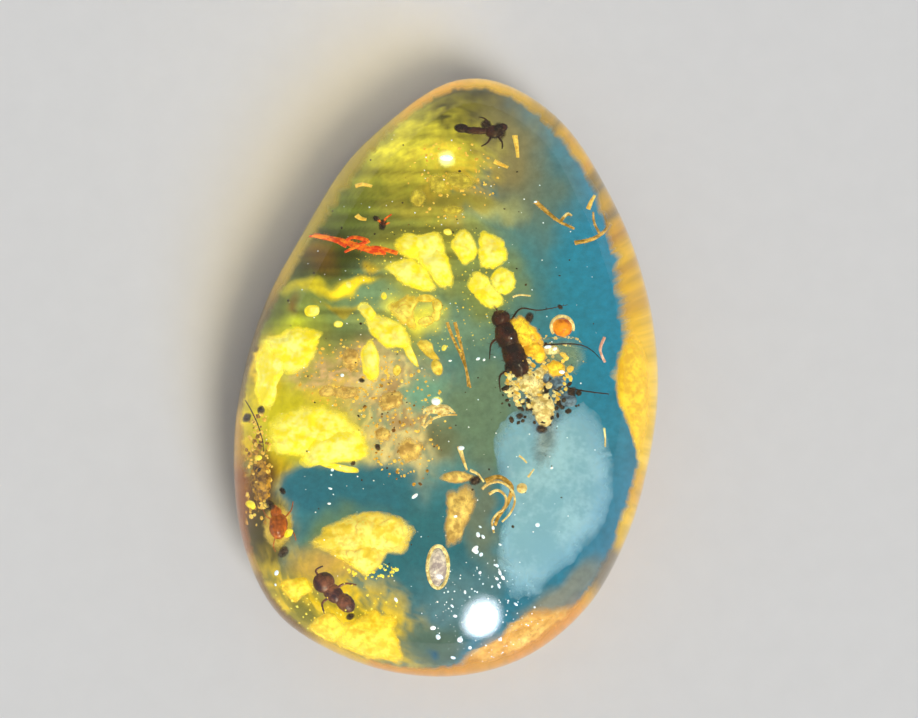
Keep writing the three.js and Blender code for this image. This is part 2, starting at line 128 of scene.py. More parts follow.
@dataclass(frozen=True)
class Stone:
    """The polished stone's form: egg-shaped rim, flat back, rounded edge and dome."""

    height: float = 8.5
    girdle: float = 2.6
    foot_share: float = 0.8
    fullness: float = 2.3
    apex: tuple[float, float] = (0.0, -1.2)
    flow_middle: float = 4.4
    flow_rim: float = 2.4
    index: float = 1.54
    rim_sides: int = 40
    seen_limit: float = 0.985
    inner_limit: float = 0.972
    slack: float = 0.05
    slope_step: float = 0.1
    rounds: int = 8
    farthest: float = 14.0
    halvings: int = 26
    rim: np.ndarray = field(default_factory=lambda: np.zeros(0))

    @classmethod
    def from_frame(cls) -> "Stone":
        """Read the rim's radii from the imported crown, at the angles of its corners.

        Returns:
            The stone with its rim filled in.
        """
        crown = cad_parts["amber_crown"].data.vertices
        corners = np.array([v.co for v in crown], float) / MM
        low = corners[np.abs(corners[:, 2] - cls.girdle) < cls.slack]
        away = low[:, :2] - np.array(cls.apex)
        angle = np.arctan2(away[:, 1], away[:, 0])
        turn = 2 * np.pi / cls.rim_sides
        radii = []
        for side in range(cls.rim_sides):
            apart = np.abs(np.angle(np.exp(1j * (angle - side * turn))))
            radii.append(np.hypot(*away[apart < turn / 4].T).max())
        return cls(rim=np.array(radii))

    def rim_radius(self, angle: np.ndarray) -> np.ndarray:
        """Radius of the rim round the apex, by a smooth wave through its corners.

        Args:
            angle: directions in radians.

        Returns:
            A radius for each direction.
        """
        wave = np.fft.rfft(self.rim) / self.rim_sides
        weight = np.full(len(wave), 2.0)
        weight[0] = 1.0
        weight[-1] = 1.0
        turns = np.exp(1j * np.multiply.outer(angle, np.arange(len(wave))))
        return np.real(turns @ (wave * weight))

    def share(self, x: np.ndarray, y: np.ndarray) -> np.ndarray:
        """How far out places lie: 0 under the apex, 1 on the rim."""
        dx = x - self.apex[0]
        dy = y - self.apex[1]
        return np.hypot(dx, dy) / self.rim_radius(np.arctan2(dy, dx))

    def out(self, share: np.ndarray, angle: np.ndarray) -> tuple[np.ndarray, np.ndarray]:
        """The place at a share of the rim's radius in a direction."""
        radius = share * self.rim_radius(angle)
        return self.apex[0] + radius * np.cos(angle), self.apex[1] + radius * np.sin(angle)

    def within(self, x: np.ndarray, y: np.ndarray) -> tuple[np.ndarray, np.ndarray]:
        """Draw places that lie too far out back to the inner limit."""
        draw = np.minimum(1, self.inner_limit / np.maximum(self.share(x, y), 1e-6))
        return self.apex[0] + (x - self.apex[0]) * draw, self.apex[1] + (y - self.apex[1]) * draw

    def dome(self, x: np.ndarray, y: np.ndarray) -> np.ndarray:
        """Height of the dome over places."""
        share = np.minimum(self.share(x, y), self.seen_limit)
        return self.girdle + (self.height - self.girdle) * np.sqrt(1 - share**self.fullness)

    def flow(self, x: np.ndarray, y: np.ndarray) -> np.ndarray:
        """Height of the resin flow that everything settled on."""
        return self.flow_middle - (self.flow_middle - self.flow_rim) * self.share(x, y) ** 2

    def enter(self, x: np.ndarray, y: np.ndarray) -> tuple[np.ndarray, np.ndarray]:
        """Follow the line of sight to the dome and bend it there.

        Args:
            x: places seen on the girdle's level.
            y: the same.

        Returns:
            Where each line enters the stone, and its direction inside.
        """
        place = np.stack([x, y, np.full_like(x, self.girdle)], -1)
        sight = place - SIGHT.eye
        sight /= np.linalg.norm(sight, axis=-1, keepdims=True)
        for _ in range(self.rounds):
            rise = self.dome(place[:, 0], place[:, 1]) - place[:, 2]
            place = place + sight * (rise / sight[:, 2])[:, None]
        step = self.slope_step
        px, py = place[:, 0], place[:, 1]
        slope_x = (self.dome(px + step, py) - self.dome(px - step, py)) / (2 * step)
        slope_y = (self.dome(px, py + step) - self.dome(px, py - step)) / (2 * step)
        normal = np.stack([-slope_x, -slope_y, np.ones_like(px)], -1)
        normal /= np.linalg.norm(normal, axis=-1, keepdims=True)
        cos_in = -(sight * normal).sum(-1, keepdims=True)
        cos_out = np.sqrt(1 - (1 - cos_in**2) / self.index**2)
        return place, sight / self.index + normal * (cos_in / self.index - cos_out)

    def reach(self, x: np.ndarray, y: np.ndarray, level: Level) -> np.ndarray:
        """Find where lines of sight meet a surface inside the stone.

        Args:
            x: places seen on the girdle's level.
            y: the same.
            level: height of the surface over places.

        Returns:
            One place for each line.
        """
        start, bent = self.enter(*self.within(np.atleast_1d(x), np.atleast_1d(y)))
        near = np.zeros(len(start))
        far = np.full(len(start), self.farthest)
        for _ in range(self.halvings):
            middle = (near + far) / 2
            place = start + bent * middle[:, None]
            above = place[:, 2] > level(place[:, 0], place[:, 1])
            near = np.where(above, middle, near)
            far = np.where(above, far, middle)
        place = start + bent * near[:, None]
        place[:, 0], place[:, 1] = self.within(place[:, 0], place[:, 1])
        return place

    def lay(self, seen: np.ndarray, lift: float) -> np.ndarray:
        """The places on the flow of what is seen at rows of x and y, raised by lift."""
        return self.reach(seen[:, 0], seen[:, 1], lambda u, v: self.flow(u, v) + lift)

    def spot(self, x: float, y: float, lift: float = 0.0) -> np.ndarray:
        """The place on the flow of what is seen at (x, y), raised by lift."""
        return self.lay(np.array([[x, y]]), lift)[0]


STONE = Stone.from_frame()


@dataclass(frozen=True)
class Resin:
    """The clear resin: how it bends light and what it takes from it on the way."""

    index: float = 1.54
    roughness: float = 0.015
    tint: Colour = (0.97, 0.777, 0.2)
    density: float = 125.0

    def left_after(self, depth: float) -> np.ndarray:
        """The share of red, green and blue light left after so many millimetres."""
        return np.exp(-self.density * (1 - np.array(self.tint)) * depth * MM)


RESIN = Resin()


def linear(shown: Sequence[float]) -> np.ndarray:
    """Turn a colour as shown on a screen into light."""
    shown = np.array(shown, float)
    return np.where(shown <= 0.04045, shown / 12.92, ((shown + 0.055) / 1.055) ** 2.4)


def under_resin(shown: Colour, depth: float) -> tuple[float, ...]:
    """The light that a thing must give for its colour to be seen through the resin.

    Args:
        shown: the colour as it looks from above.
        depth: millimetres of resin over it.

    Returns:
        Red, green, blue and 1.
    """
    return (*np.clip(linear(shown) / RESIN.left_after(depth), 0, 1.6), 1.0)


class Tree:
    """A short hand for building a node tree."""

    def __init__(self, tree: bpy.types.NodeTree) -> None:
        """Keep the tree."""
        self.tree = tree

    def add(self, kind: str, inputs: dict | None = None, **settings: object) -> bpy.types.Node:
        """Add a node.

        Args:
            kind: the node's type.
            inputs: values or output sockets for its inputs, by name or number.
            settings: the node's own properties.

        Returns:
            The node.
        """
        node = self.tree.nodes.new(kind)
        for name, value in settings.items():
            setattr(node, name, value)
        for name, value in (inputs or {}).items():
            if isinstance(value, bpy.types.NodeSocket):
                self.tree.links.new(value, node.inputs[name])
            else:
                node.inputs[name].default_value = value
        return node

    def math(self, operation: str, *values: object) -> bpy.types.NodeSocket:
        """A Math node's output."""
        return self.add("ShaderNodeMath", dict(enumerate(values)), operation=operation).outputs[0]

    def mix(self, factor: object, a: object, b: object) -> bpy.types.NodeSocket:
        """A colour between a and b."""
        node = self.add("ShaderNodeMix", {0: factor, 6: a, 7: b}, data_type="RGBA")
        return node.outputs[2]

    def mark(self, name: str, output: str = "Fac") -> bpy.types.NodeSocket:
        """A value or vector that the mesh keeps at its corners."""
        return self.add("ShaderNodeAttribute", attribute_name=name).outputs[output]

    def surface(self, shader: bpy.types.Node) -> None:
        """Make a shader the material's surface."""
        self.tree.links.new(shader.outputs[0], self.tree.nodes["out"].inputs["Surface"])

    def ramp(self, value: object, low: float, high: float) -> bpy.types.NodeSocket:
        """A value turned smoothly to 0 at low and 1 at high."""
        node = self.add("ShaderNodeMapRange", {"Value": value, 1: low, 2: high},
                        interpolation_type="SMOOTHSTEP")
        return node.outputs[0]


def new_group(name: str, kind: str, given: dict[str, str], made: dict[str, str]
              ) -> tuple[Tree, bpy.types.Node, bpy.types.Node]:
    """Start a node group.

    Args:
        name: the group's name.
        kind: its type of tree.
        given: kinds of its inputs, by name.
        made: kinds of its outputs, by name.

    Returns:
        Its tree, its input node and its output node.
    """
    group = bpy.data.node_groups.new(name, kind)
    for side, sockets in (("INPUT", given), ("OUTPUT", made)):
        for socket, sort in sockets.items():
            group.interface.new_socket(socket, in_out=side, socket_type=f"NodeSocket{sort}")
    tree = Tree(group)
    return tree, tree.add("NodeGroupInput"), tree.add("NodeGroupOutput")


def crumple_group() -> bpy.types.ShaderNodeTree:
    """Uneven patches, creases and a height for crumpled flakes and husks: the patch, lighter where the
    height is raised, is partly uneven tone and partly a painted highlight, and the crease mask lays
    painted shade in the folds.

    Returns:
        The node group.
    """
    tree, take, give = new_group(
        "crumple", "ShaderNodeTree", {"Place": "Vector", "Patches": "Float", "Creases": "Float"},
        {"Patch": "Float", "FoldShade": "Float", "Height": "Float"})
    broad = tree.add("ShaderNodeTexNoise", {"Vector": take.outputs["Place"],
                     "Scale": take.outputs["Patches"], "Detail": 3.0, "Roughness": 0.65})
    warp = tree.add("ShaderNodeVectorMath", {0: broad.outputs["Color"], 3: 0.9}, operation="SCALE")
    bent = tree.add("ShaderNodeVectorMath", {0: take.outputs["Place"], 1: warp.outputs[0]},
                    operation="ADD")
    cells = tree.add("ShaderNodeTexVoronoi", {"Vector": bent.outputs[0],
                     "Scale": take.outputs["Creases"]}, feature="DISTANCE_TO_EDGE")
    fine = tree.add("ShaderNodeTexNoise", {"Vector": take.outputs["Place"], "Scale": 6.0,
                    "Detail": 1.0})
    # painted shade: the fold mask marks where the folds are darkened
    fold_shade = tree.math("SUBTRACT", 1.0, tree.ramp(cells.outputs["Distance"], 0.0, 0.07))
    fold_shade = tree.math("MULTIPLY", fold_shade, tree.ramp(broad.outputs["Fac"], 0.42, 0.6))
    height = tree.math("ADD", broad.outputs["Fac"], tree.math("MULTIPLY", fine.outputs["Fac"], 0.3))
    # lighter where the bump is higher: uneven tone with a painted highlight
    patch = tree.ramp(height, 0.52, 0.8)
    height = tree.math("SUBTRACT", height, tree.math("MULTIPLY", fold_shade, 0.2))
    for name, value in {"Patch": patch, "FoldShade": fold_shade, "Height": height}.items():
        tree.tree.links.new(value, give.inputs[name])
    return tree.tree


CRUMPLE = crumple_group()


def new_material(name: str) -> tuple[bpy.types.Material, Tree]:
    """A material with an empty tree and its output node, named out."""
    material = bpy.data.materials.new(name)
    material.use_nodes = True
    material.node_tree.nodes.clear()
    tree = Tree(material.node_tree)
    tree.add("ShaderNodeOutputMaterial", name="out")
    return material, tree


def flat_place(tree: Tree) -> bpy.types.NodeSocket:
    """A piece's own coordinates in millimetres."""
    coordinates = tree.add("ShaderNodeTexCoord")
    scaled = tree.add("ShaderNodeMapping", {"Vector": coordinates.outputs["Object"],
                      "Scale": (1 / MM, 1 / MM, 1 / MM)})
    return scaled.outputs[0]


def shadowless(tree: Tree, shader: bpy.types.Node, tint: float = 1.0) -> bpy.types.Node:
    """A shader that lets the light on its way to other things through.

    Args:
        tree: the material's tree.
        shader: what everything else sees.
        tint: the share of the light that passes.

    Returns:
        The node that mixes them.
    """
    path = tree.add("ShaderNodeLightPath")
    clear = tree.add("ShaderNodeBsdfTransparent", {"Color": (tint, tint, tint, 1)})
    return tree.add("ShaderNodeMixShader", {0: path.outputs["Is Shadow Ray"], 1: shader.outputs[0],
                    2: clear.outputs[0]})


@dataclass(frozen=True)
class Sealed:
    """The finish of a sealed thing as it looks through the resin: a light and a dark colour, the light
    one on raised parts as uneven tone with a painted highlight, painted shade in the creases, and a
    painted glow.
    """

    name: str
    light: Colour
    dark: Colour
    fold_shade: Colour
    depth: float = 3.5
    patches: float = 2.0
    creases: float = 1.6
    fold_shade_weight: float = 0.45
    roughness: float = 0.6
    glow: float = 0.62
    lit: float = 0.6
    bump: float = 0.04
    coat: float = 0.0
    fade: tuple[float, float] | None = None
    cover: float = 1.0
    rimmed: float = 0.0

    def material(self) -> bpy.types.Material:
        """Build the finish.

        Returns:
            The material.
        """
        material, tree = new_material(self.name)
        place = flat_place(tree)
        marks = tree.add("ShaderNodeGroup", node_tree=CRUMPLE)
        tree.tree.links.new(place, marks.inputs["Place"])
        marks.inputs["Patches"].default_value = self.patches
        marks.inputs["Creases"].default_value = self.creases
        light, dark, fold_shade = (under_resin(c, self.depth) for c in (self.light, self.dark, self.fold_shade))
        edge = tree.mark("edge")
        border = tree.math("MULTIPLY", tree.ramp(edge, 0.55, 1.0), self.rimmed)
        # the light colour goes on the raised parts away from the border: uneven tone with a painted
        # highlight
        tone_and_highlight = tree.math("MULTIPLY", marks.outputs["Patch"], tree.math("SUBTRACT", 1.0, border))
        colour = tree.mix(tone_and_highlight, dark, light)
        # painted shade: the fold shade colour is mixed in along the folds
        fold_shade_and_fray = tree.math("MULTIPLY", marks.outputs["FoldShade"], self.fold_shade_weight)
        colour = tree.mix(fold_shade_and_fray, colour, fold_shade)
        bump = tree.add("ShaderNodeBump", {"Height": marks.outputs["Height"], "Strength": 0.6,
                        "Distance": self.bump * MM})
        shader = tree.add("ShaderNodeBsdfPrincipled", {
            "Base Color": tree.mix(1 - self.lit, colour, (0, 0, 0, 1)), "Emission Color": colour,
            "Roughness": self.roughness, "Normal": bump.outputs[0]})
        # painted glow: the emission stands in for the light that reaches the thing through the resin
        shader.inputs["Emission Strength"].default_value = self.glow
        shader.inputs["Coat Weight"].default_value = self.coat
        shader.inputs["IOR"].default_value = 1.4
        if self.fade:
            ragged = tree.math("ADD", edge, tree.math("MULTIPLY", marks.outputs["Height"], 0.5))
            alpha = tree.math("SUBTRACT", 1.0, tree.ramp(ragged, *self.fade))
            tree.tree.links.new(tree.math("MULTIPLY", alpha, self.cover), shader.inputs["Alpha"])
            shader = shadowless(tree, shader)
        tree.surface(shader)
        return material


def placed(name: str, data: bpy.types.ID) -> bpy.types.Object:
    """A new object of a mesh, a lamp or a camera, linked to the scene."""
    made = bpy.data.objects.new(name, data)
    bpy.context.scene.collection.objects.link(made)
    return made


def baked(holder: bpy.types.Object) -> bpy.types.Mesh:
    """Turn what an object's modifiers make into a plain mesh, and remove the object.

    Args:
        holder: the object.

    Returns:
        The mesh.
    """
    ready = holder.evaluated_get(bpy.context.evaluated_depsgraph_get())
    mesh = bpy.data.meshes.new_from_object(ready)
    bpy.data.objects.remove(holder)
    return mesh


def merged(name: str, meshes: Sequence[bpy.types.Mesh]) -> bpy.types.Mesh:
    """Put several meshes in one.

    Args:
        name: the new mesh's name.
        meshes: the meshes, which stay as they are.

    Returns:
        The new mesh, with no material.
    """
    work = bmesh.new()
    for mesh in meshes:
        work.from_mesh(mesh)
    whole = bpy.data.meshes.new(name)
    work.to_mesh(whole)
    work.free()
    return whole


def around(sides: int) -> np.ndarray:
    """Even directions round a circle."""
    return np.arange(sides) * 2 * np.pi / sides


def solid(name: str, corners: np.ndarray, faces: Sequence[Sequence[int]],
          material: bpy.types.Material, marks: dict[str, np.ndarray] | None = None
          ) -> bpy.types.Object:
    """Make a smooth-shaded object.

    Args:
        name: the object's name.
        corners: its corners in millimetres.
        faces: the corners' numbers round each face, anticlockwise from outside.
        material: its finish.
        marks: values or vectors kept at the corners, by name.

    Returns:
        The object, linked to the scene.
    """
    mesh = bpy.data.meshes.new(name)
    mesh.from_pydata((corners * MM).tolist(), [], [list(face) for face in faces])
    mesh.shade_smooth()
    mesh.materials.append(material)
    for mark, values in (marks or {}).items():
        kind = "FLOAT" if values.ndim == 1 else "FLOAT_VECTOR"
        layer = mesh.attributes.new(mark, kind, "POINT")
        layer.data.foreach_set("value" if values.ndim == 1 else "vector",
                               values.astype(np.float32).ravel())
    return placed(name, mesh)


def seat(piece: bpy.types.Object, slot: Slot, *nodes: str) -> None:
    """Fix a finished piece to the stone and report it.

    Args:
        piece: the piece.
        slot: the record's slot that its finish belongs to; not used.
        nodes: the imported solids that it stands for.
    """
    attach(piece, "root")
    if nodes:
        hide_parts(*nodes)
    LOG.info("%s: %d faces, in place of %s", piece.name, len(piece.data.polygons),
             ", ".join(nodes) or "nothing")


def loft(rings: np.ndarray) -> list[tuple[int, ...]]:
    """Faces over rings that go anticlockwise from the bottom up, with a pole at either end.

    Args:
        rings: an array of rings, sides and coordinates. The poles' corners follow the rings'.

    Returns:
        The faces.
    """
    count, sides = rings.shape[:2]
    faces: list[tuple[int, ...]] = []
    first = count * sides
    top = (count - 1) * sides
    for side in range(sides):
        after = (side + 1) % sides
        for ring in range(count - 1):
            low = ring * sides
            faces.append((low + side, low + after, low + sides + after, low + sides + side))
        faces.append((first, after, side))
        faces.append((first + 1, top + side, top + after))
    return faces


def thin_shell(above: np.ndarray, wall: float) -> tuple[np.ndarray, list[tuple[int, ...]]]:
    """Close a sheet's rings into a thin shell.

    Args:
        above: the rings of its upper side, from the middle out.
        wall: its thickness.

    Returns:
        Corners and faces.
    """
    count, sides = above.shape[:2]
    below = above - np.array([0, 0, wall])
    corners = np.vstack([above.reshape(-1, 3), below.reshape(-1, 3), above[0].mean(0),
                         below[0].mean(0)])
    half = count * sides
    rim = (count - 1) * sides
    faces: list[tuple[int, ...]] = []
    for side in range(sides):
        after = (side + 1) % sides
        for ring in range(count - 1):
            a, b = ring * sides + side, ring * sides + after
            faces.append((a, a + sides, b + sides, b))
            faces.append((half + a, half + b, half + b + sides, half + a + sides))
        faces.append((2 * half, side, after))
        faces.append((2 * half + 1, half + after, half + side))
        faces.append((rim + side, half + rim + side, half + rim + after, rim + after))
    return corners, faces


def with_poles(rings: np.ndarray) -> np.ndarray:
    """The rings' corners, then the middles of the first and the last ring."""
    return np.vstack([rings.reshape(-1, 3), rings[0].mean(0), rings[-1].mean(0)])


def ripple(corners: np.ndarray, wavelength: float, seed: float) -> np.ndarray:
    """Smooth noise at places, from about -1 to 1.

    Args:
        corners: places in millimetres.
        wavelength: how far apart its waves are.
        seed: picks another pattern.

    Returns:
        One value for each place.
    """
    shift = Vector((seed * 17.3, seed * 5.1, seed * 9.7))
    return np.array([noise.noise(Vector(c) / wavelength + shift) for c in corners.tolist()])


@dataclass(frozen=True)
class ClearStone:
    """The clear resin itself, one polished piece in place of the two halves."""

    sides: int = 192
    foot_rings: int = 6
    edge_rings: int = 14
    dome_rings: int = 44
    waviness: float = 0.03
    wave: float = 3.2
    seed: float = 3.0
    wavy_over: float = 2.0
    passing: float = 0.93

    def profile(self) -> np.ndarray:
        """Shares and heights from the middle of the back to near the apex.

        Returns:
            One row of share and height for each ring.
        """
        foot = [(STONE.foot_share * (i + 1) / (self.foot_rings + 1), 0.0)
                for i in range(self.foot_rings)]
        edge = []
        for i in range(self.edge_rings):
            turn = (i / self.edge_rings) * math.pi / 2
            edge.append((STONE.foot_share + (1 - STONE.foot_share) * math.sin(turn),
                         STONE.girdle * (1 - math.cos(turn))))
        dome = []
        for i in range(self.dome_rings):
            turn = (1 - i / self.dome_rings) * math.pi / 2
            dome.append((math.sin(turn) ** (2 / STONE.fullness),
                         STONE.girdle + (STONE.height - STONE.girdle) * math.cos(turn)))
        return np.array(foot + edge + dome)

    def build(self) -> None:
        """Make the stone."""
        angles = around(self.sides)
        rings = []
        for share, z in self.profile():
            x, y = STONE.out(np.full(self.sides, share), angles)
            rings.append(np.stack([x, y, np.full(self.sides, z)], -1))
        rings = np.array(rings)
        corners = with_poles(rings)
        corners[-1, 2] = STONE.height
        dome = np.clip((corners[:, 2] - STONE.girdle) / self.wavy_over, 0, 1)
        corners[:, 2] -= dome * self.waviness * (1 + ripple(corners, self.wave, self.seed))
        piece = solid("clear_resin", corners, loft(rings), self.material())
        seat(piece, Slot.CLEAR, "amber_crown", "amber_base")

    def material(self) -> bpy.types.Material:
        """Clear, polished, faintly scratched resin that lets the lamp's light through.

        Returns:
            The material.
        """
        material, tree = new_material("clear_amber")
        place = flat_place(tree)
        wear = tree.add("ShaderNodeTexNoise", {"Vector": place, "Scale": 1.3, "Detail": 5.0})
        bump = tree.add("ShaderNodeBump", {"Height": wear.outputs["Fac"], "Strength": 0.2,
                        "Distance": 0.02 * MM})
        glass = tree.add("ShaderNodeBsdfPrincipled", {
            "Base Color": (1, 1, 1, 1), "Roughness": RESIN.roughness, "IOR": RESIN.index,
            "Transmission Weight": 1.0, "Normal": bump.outputs[0]})
        volume = tree.add("ShaderNodeVolumeAbsorption", {"Color": (*RESIN.tint, 1),
                          "Density": RESIN.density})
        tree.surface(shadowless(tree, glass, self.passing))
        tree.tree.links.new(volume.outputs[0], tree.tree.nodes["out"].inputs["Volume"])
        return material


@dataclass(frozen=True)
class Zone:
    """An oval of one colour in the stone's depth, in pixels of the picture."""

    at: tuple[float, float]
    reach: tuple[float, float]
    colour: Colour
    turn: float = 0.0
    softness: float = 0.45
    mottle: float = 0.0

    def mask(self, place: np.ndarray) -> np.ndarray:
        """How much of the zone's colour seen places have.

        Args:
            place: x and y of each place.

        Returns:
            0 to 1 for each place.
        """
        away = (place - np.array(SIGHT.seen(*self.at))) * SIGHT.scale
        cos, sin = math.cos(self.turn), math.sin(self.turn)
        share = np.hypot(away @ (cos, sin) / self.reach[0], away @ (-sin, cos) / self.reach[1])
        left = np.clip((1 + self.softness - share) / (2 * self.softness), 0, 1)
        left = left * left * (3 - 2 * left)
        if self.mottle:
            flat = np.hstack([place, np.full((len(place), 1), self.at[0] + self.colour[2])])
            patches = ripple(flat, 0.55, 1.0) + 0.7 * ripple(flat, 0.2, 2.0)
            left = left * np.clip(0.5 + self.mottle * patches, 0, 1)
        return left


@dataclass(frozen=True)
class Paint:
    """A glowing finish of one colour with soft uneven zones of others, placed as seen from above."""

    name: str
    base: Colour
    zones: tuple[Zone, ...]
    depth: float
    glow: float
    lit: float
    drift: float = 0.65
    streaks: float = 0.0
    fade: bool = False
    honey: Colour = (0.72, 0.56, 0.22)
    flowing: Zone = Zone((370, 220), (130, 120), (1, 1, 1), 0.9, 0.5)

    def tint(self, seen: np.ndarray) -> np.ndarray:
        """The light that each seen place gives.

        Args:
            seen: x, y and 0 of each place.

        Returns:
            Red, green and blue for each place.
        """
        waves = [ripple(seen, 2.2, seed) + 0.5 * ripple(seen, 0.7, seed + 1) for seed in (3.0, 5.0)]
        place = seen[:, :2] + self.drift * np.stack(waves, -1)
        colour = np.array(under_resin(self.base, self.depth)[:3])
        colour = colour * (1 + 0.16 * ripple(seen, 1.6, 7.0))[:, None]
        for zone in self.zones:
            goal = np.array(under_resin(zone.colour, self.depth)[:3])
            colour += (goal - colour) * zone.mask(place)[:, None]
        lines = ripple(seen * (0.13, 2.2, 1.0), 0.9, 9.0)
        lines = lines + 0.5 * ripple(seen * (0.2, 5.0, 1.0), 0.9, 10.0)
        shown = np.clip(lines, -0.5, 0.8) * self.flowing.mask(seen[:, :2])
        return colour * (1 + self.streaks * shown)[:, None]

    def material(self) -> bpy.types.Material:
        """Build the finish.

        Returns:
            The material.
        """
        material, tree = new_material(self.name)
        grain = tree.add("ShaderNodeTexNoise", {"Vector": tree.mark("seen", "Vector"),
                         "Scale": 2.6, "Detail": 4.0, "Roughness": 0.65})
        strength = tree.add("ShaderNodeMapRange", {"Value": grain.outputs["Fac"], 1: 0.25, 2: 0.75,
                            3: 0.8, 4: 1.22})
        colour = tree.add("ShaderNodeVectorMath", {0: tree.mark("tint", "Vector"),
                          3: strength.outputs[0]}, operation="SCALE").outputs[0]
        under = tree.mark("under")
        shader = tree.add("ShaderNodeBsdfPrincipled", {
            "Base Color": tree.mix(under, tree.mix(1 - self.lit, colour, (0, 0, 0, 1)),
                                   (*linear(self.honey), 1)),
            "Emission Color": tree.mix(under, colour, (0, 0, 0, 1)), "Roughness": 0.8})
        # painted glow: the emission gives out the depth's blue and the rim's brightness as light of its
        # own
        shader.inputs["Emission Strength"].default_value = self.glow
        if self.fade:
            fold_shade_and_fray = tree.math("MULTIPLY", grain.outputs["Fac"], 0.5)
            fold_shade_and_fray = tree.math("ADD", tree.mark("edge"), fold_shade_and_fray)
            alpha = tree.math("SUBTRACT", 1.0, tree.ramp(fold_shade_and_fray, 0.95, 1.3))
            tree.tree.links.new(alpha, shader.inputs["Alpha"])
            shader = shadowless(tree, shader)
        tree.surface(shader)
        return material


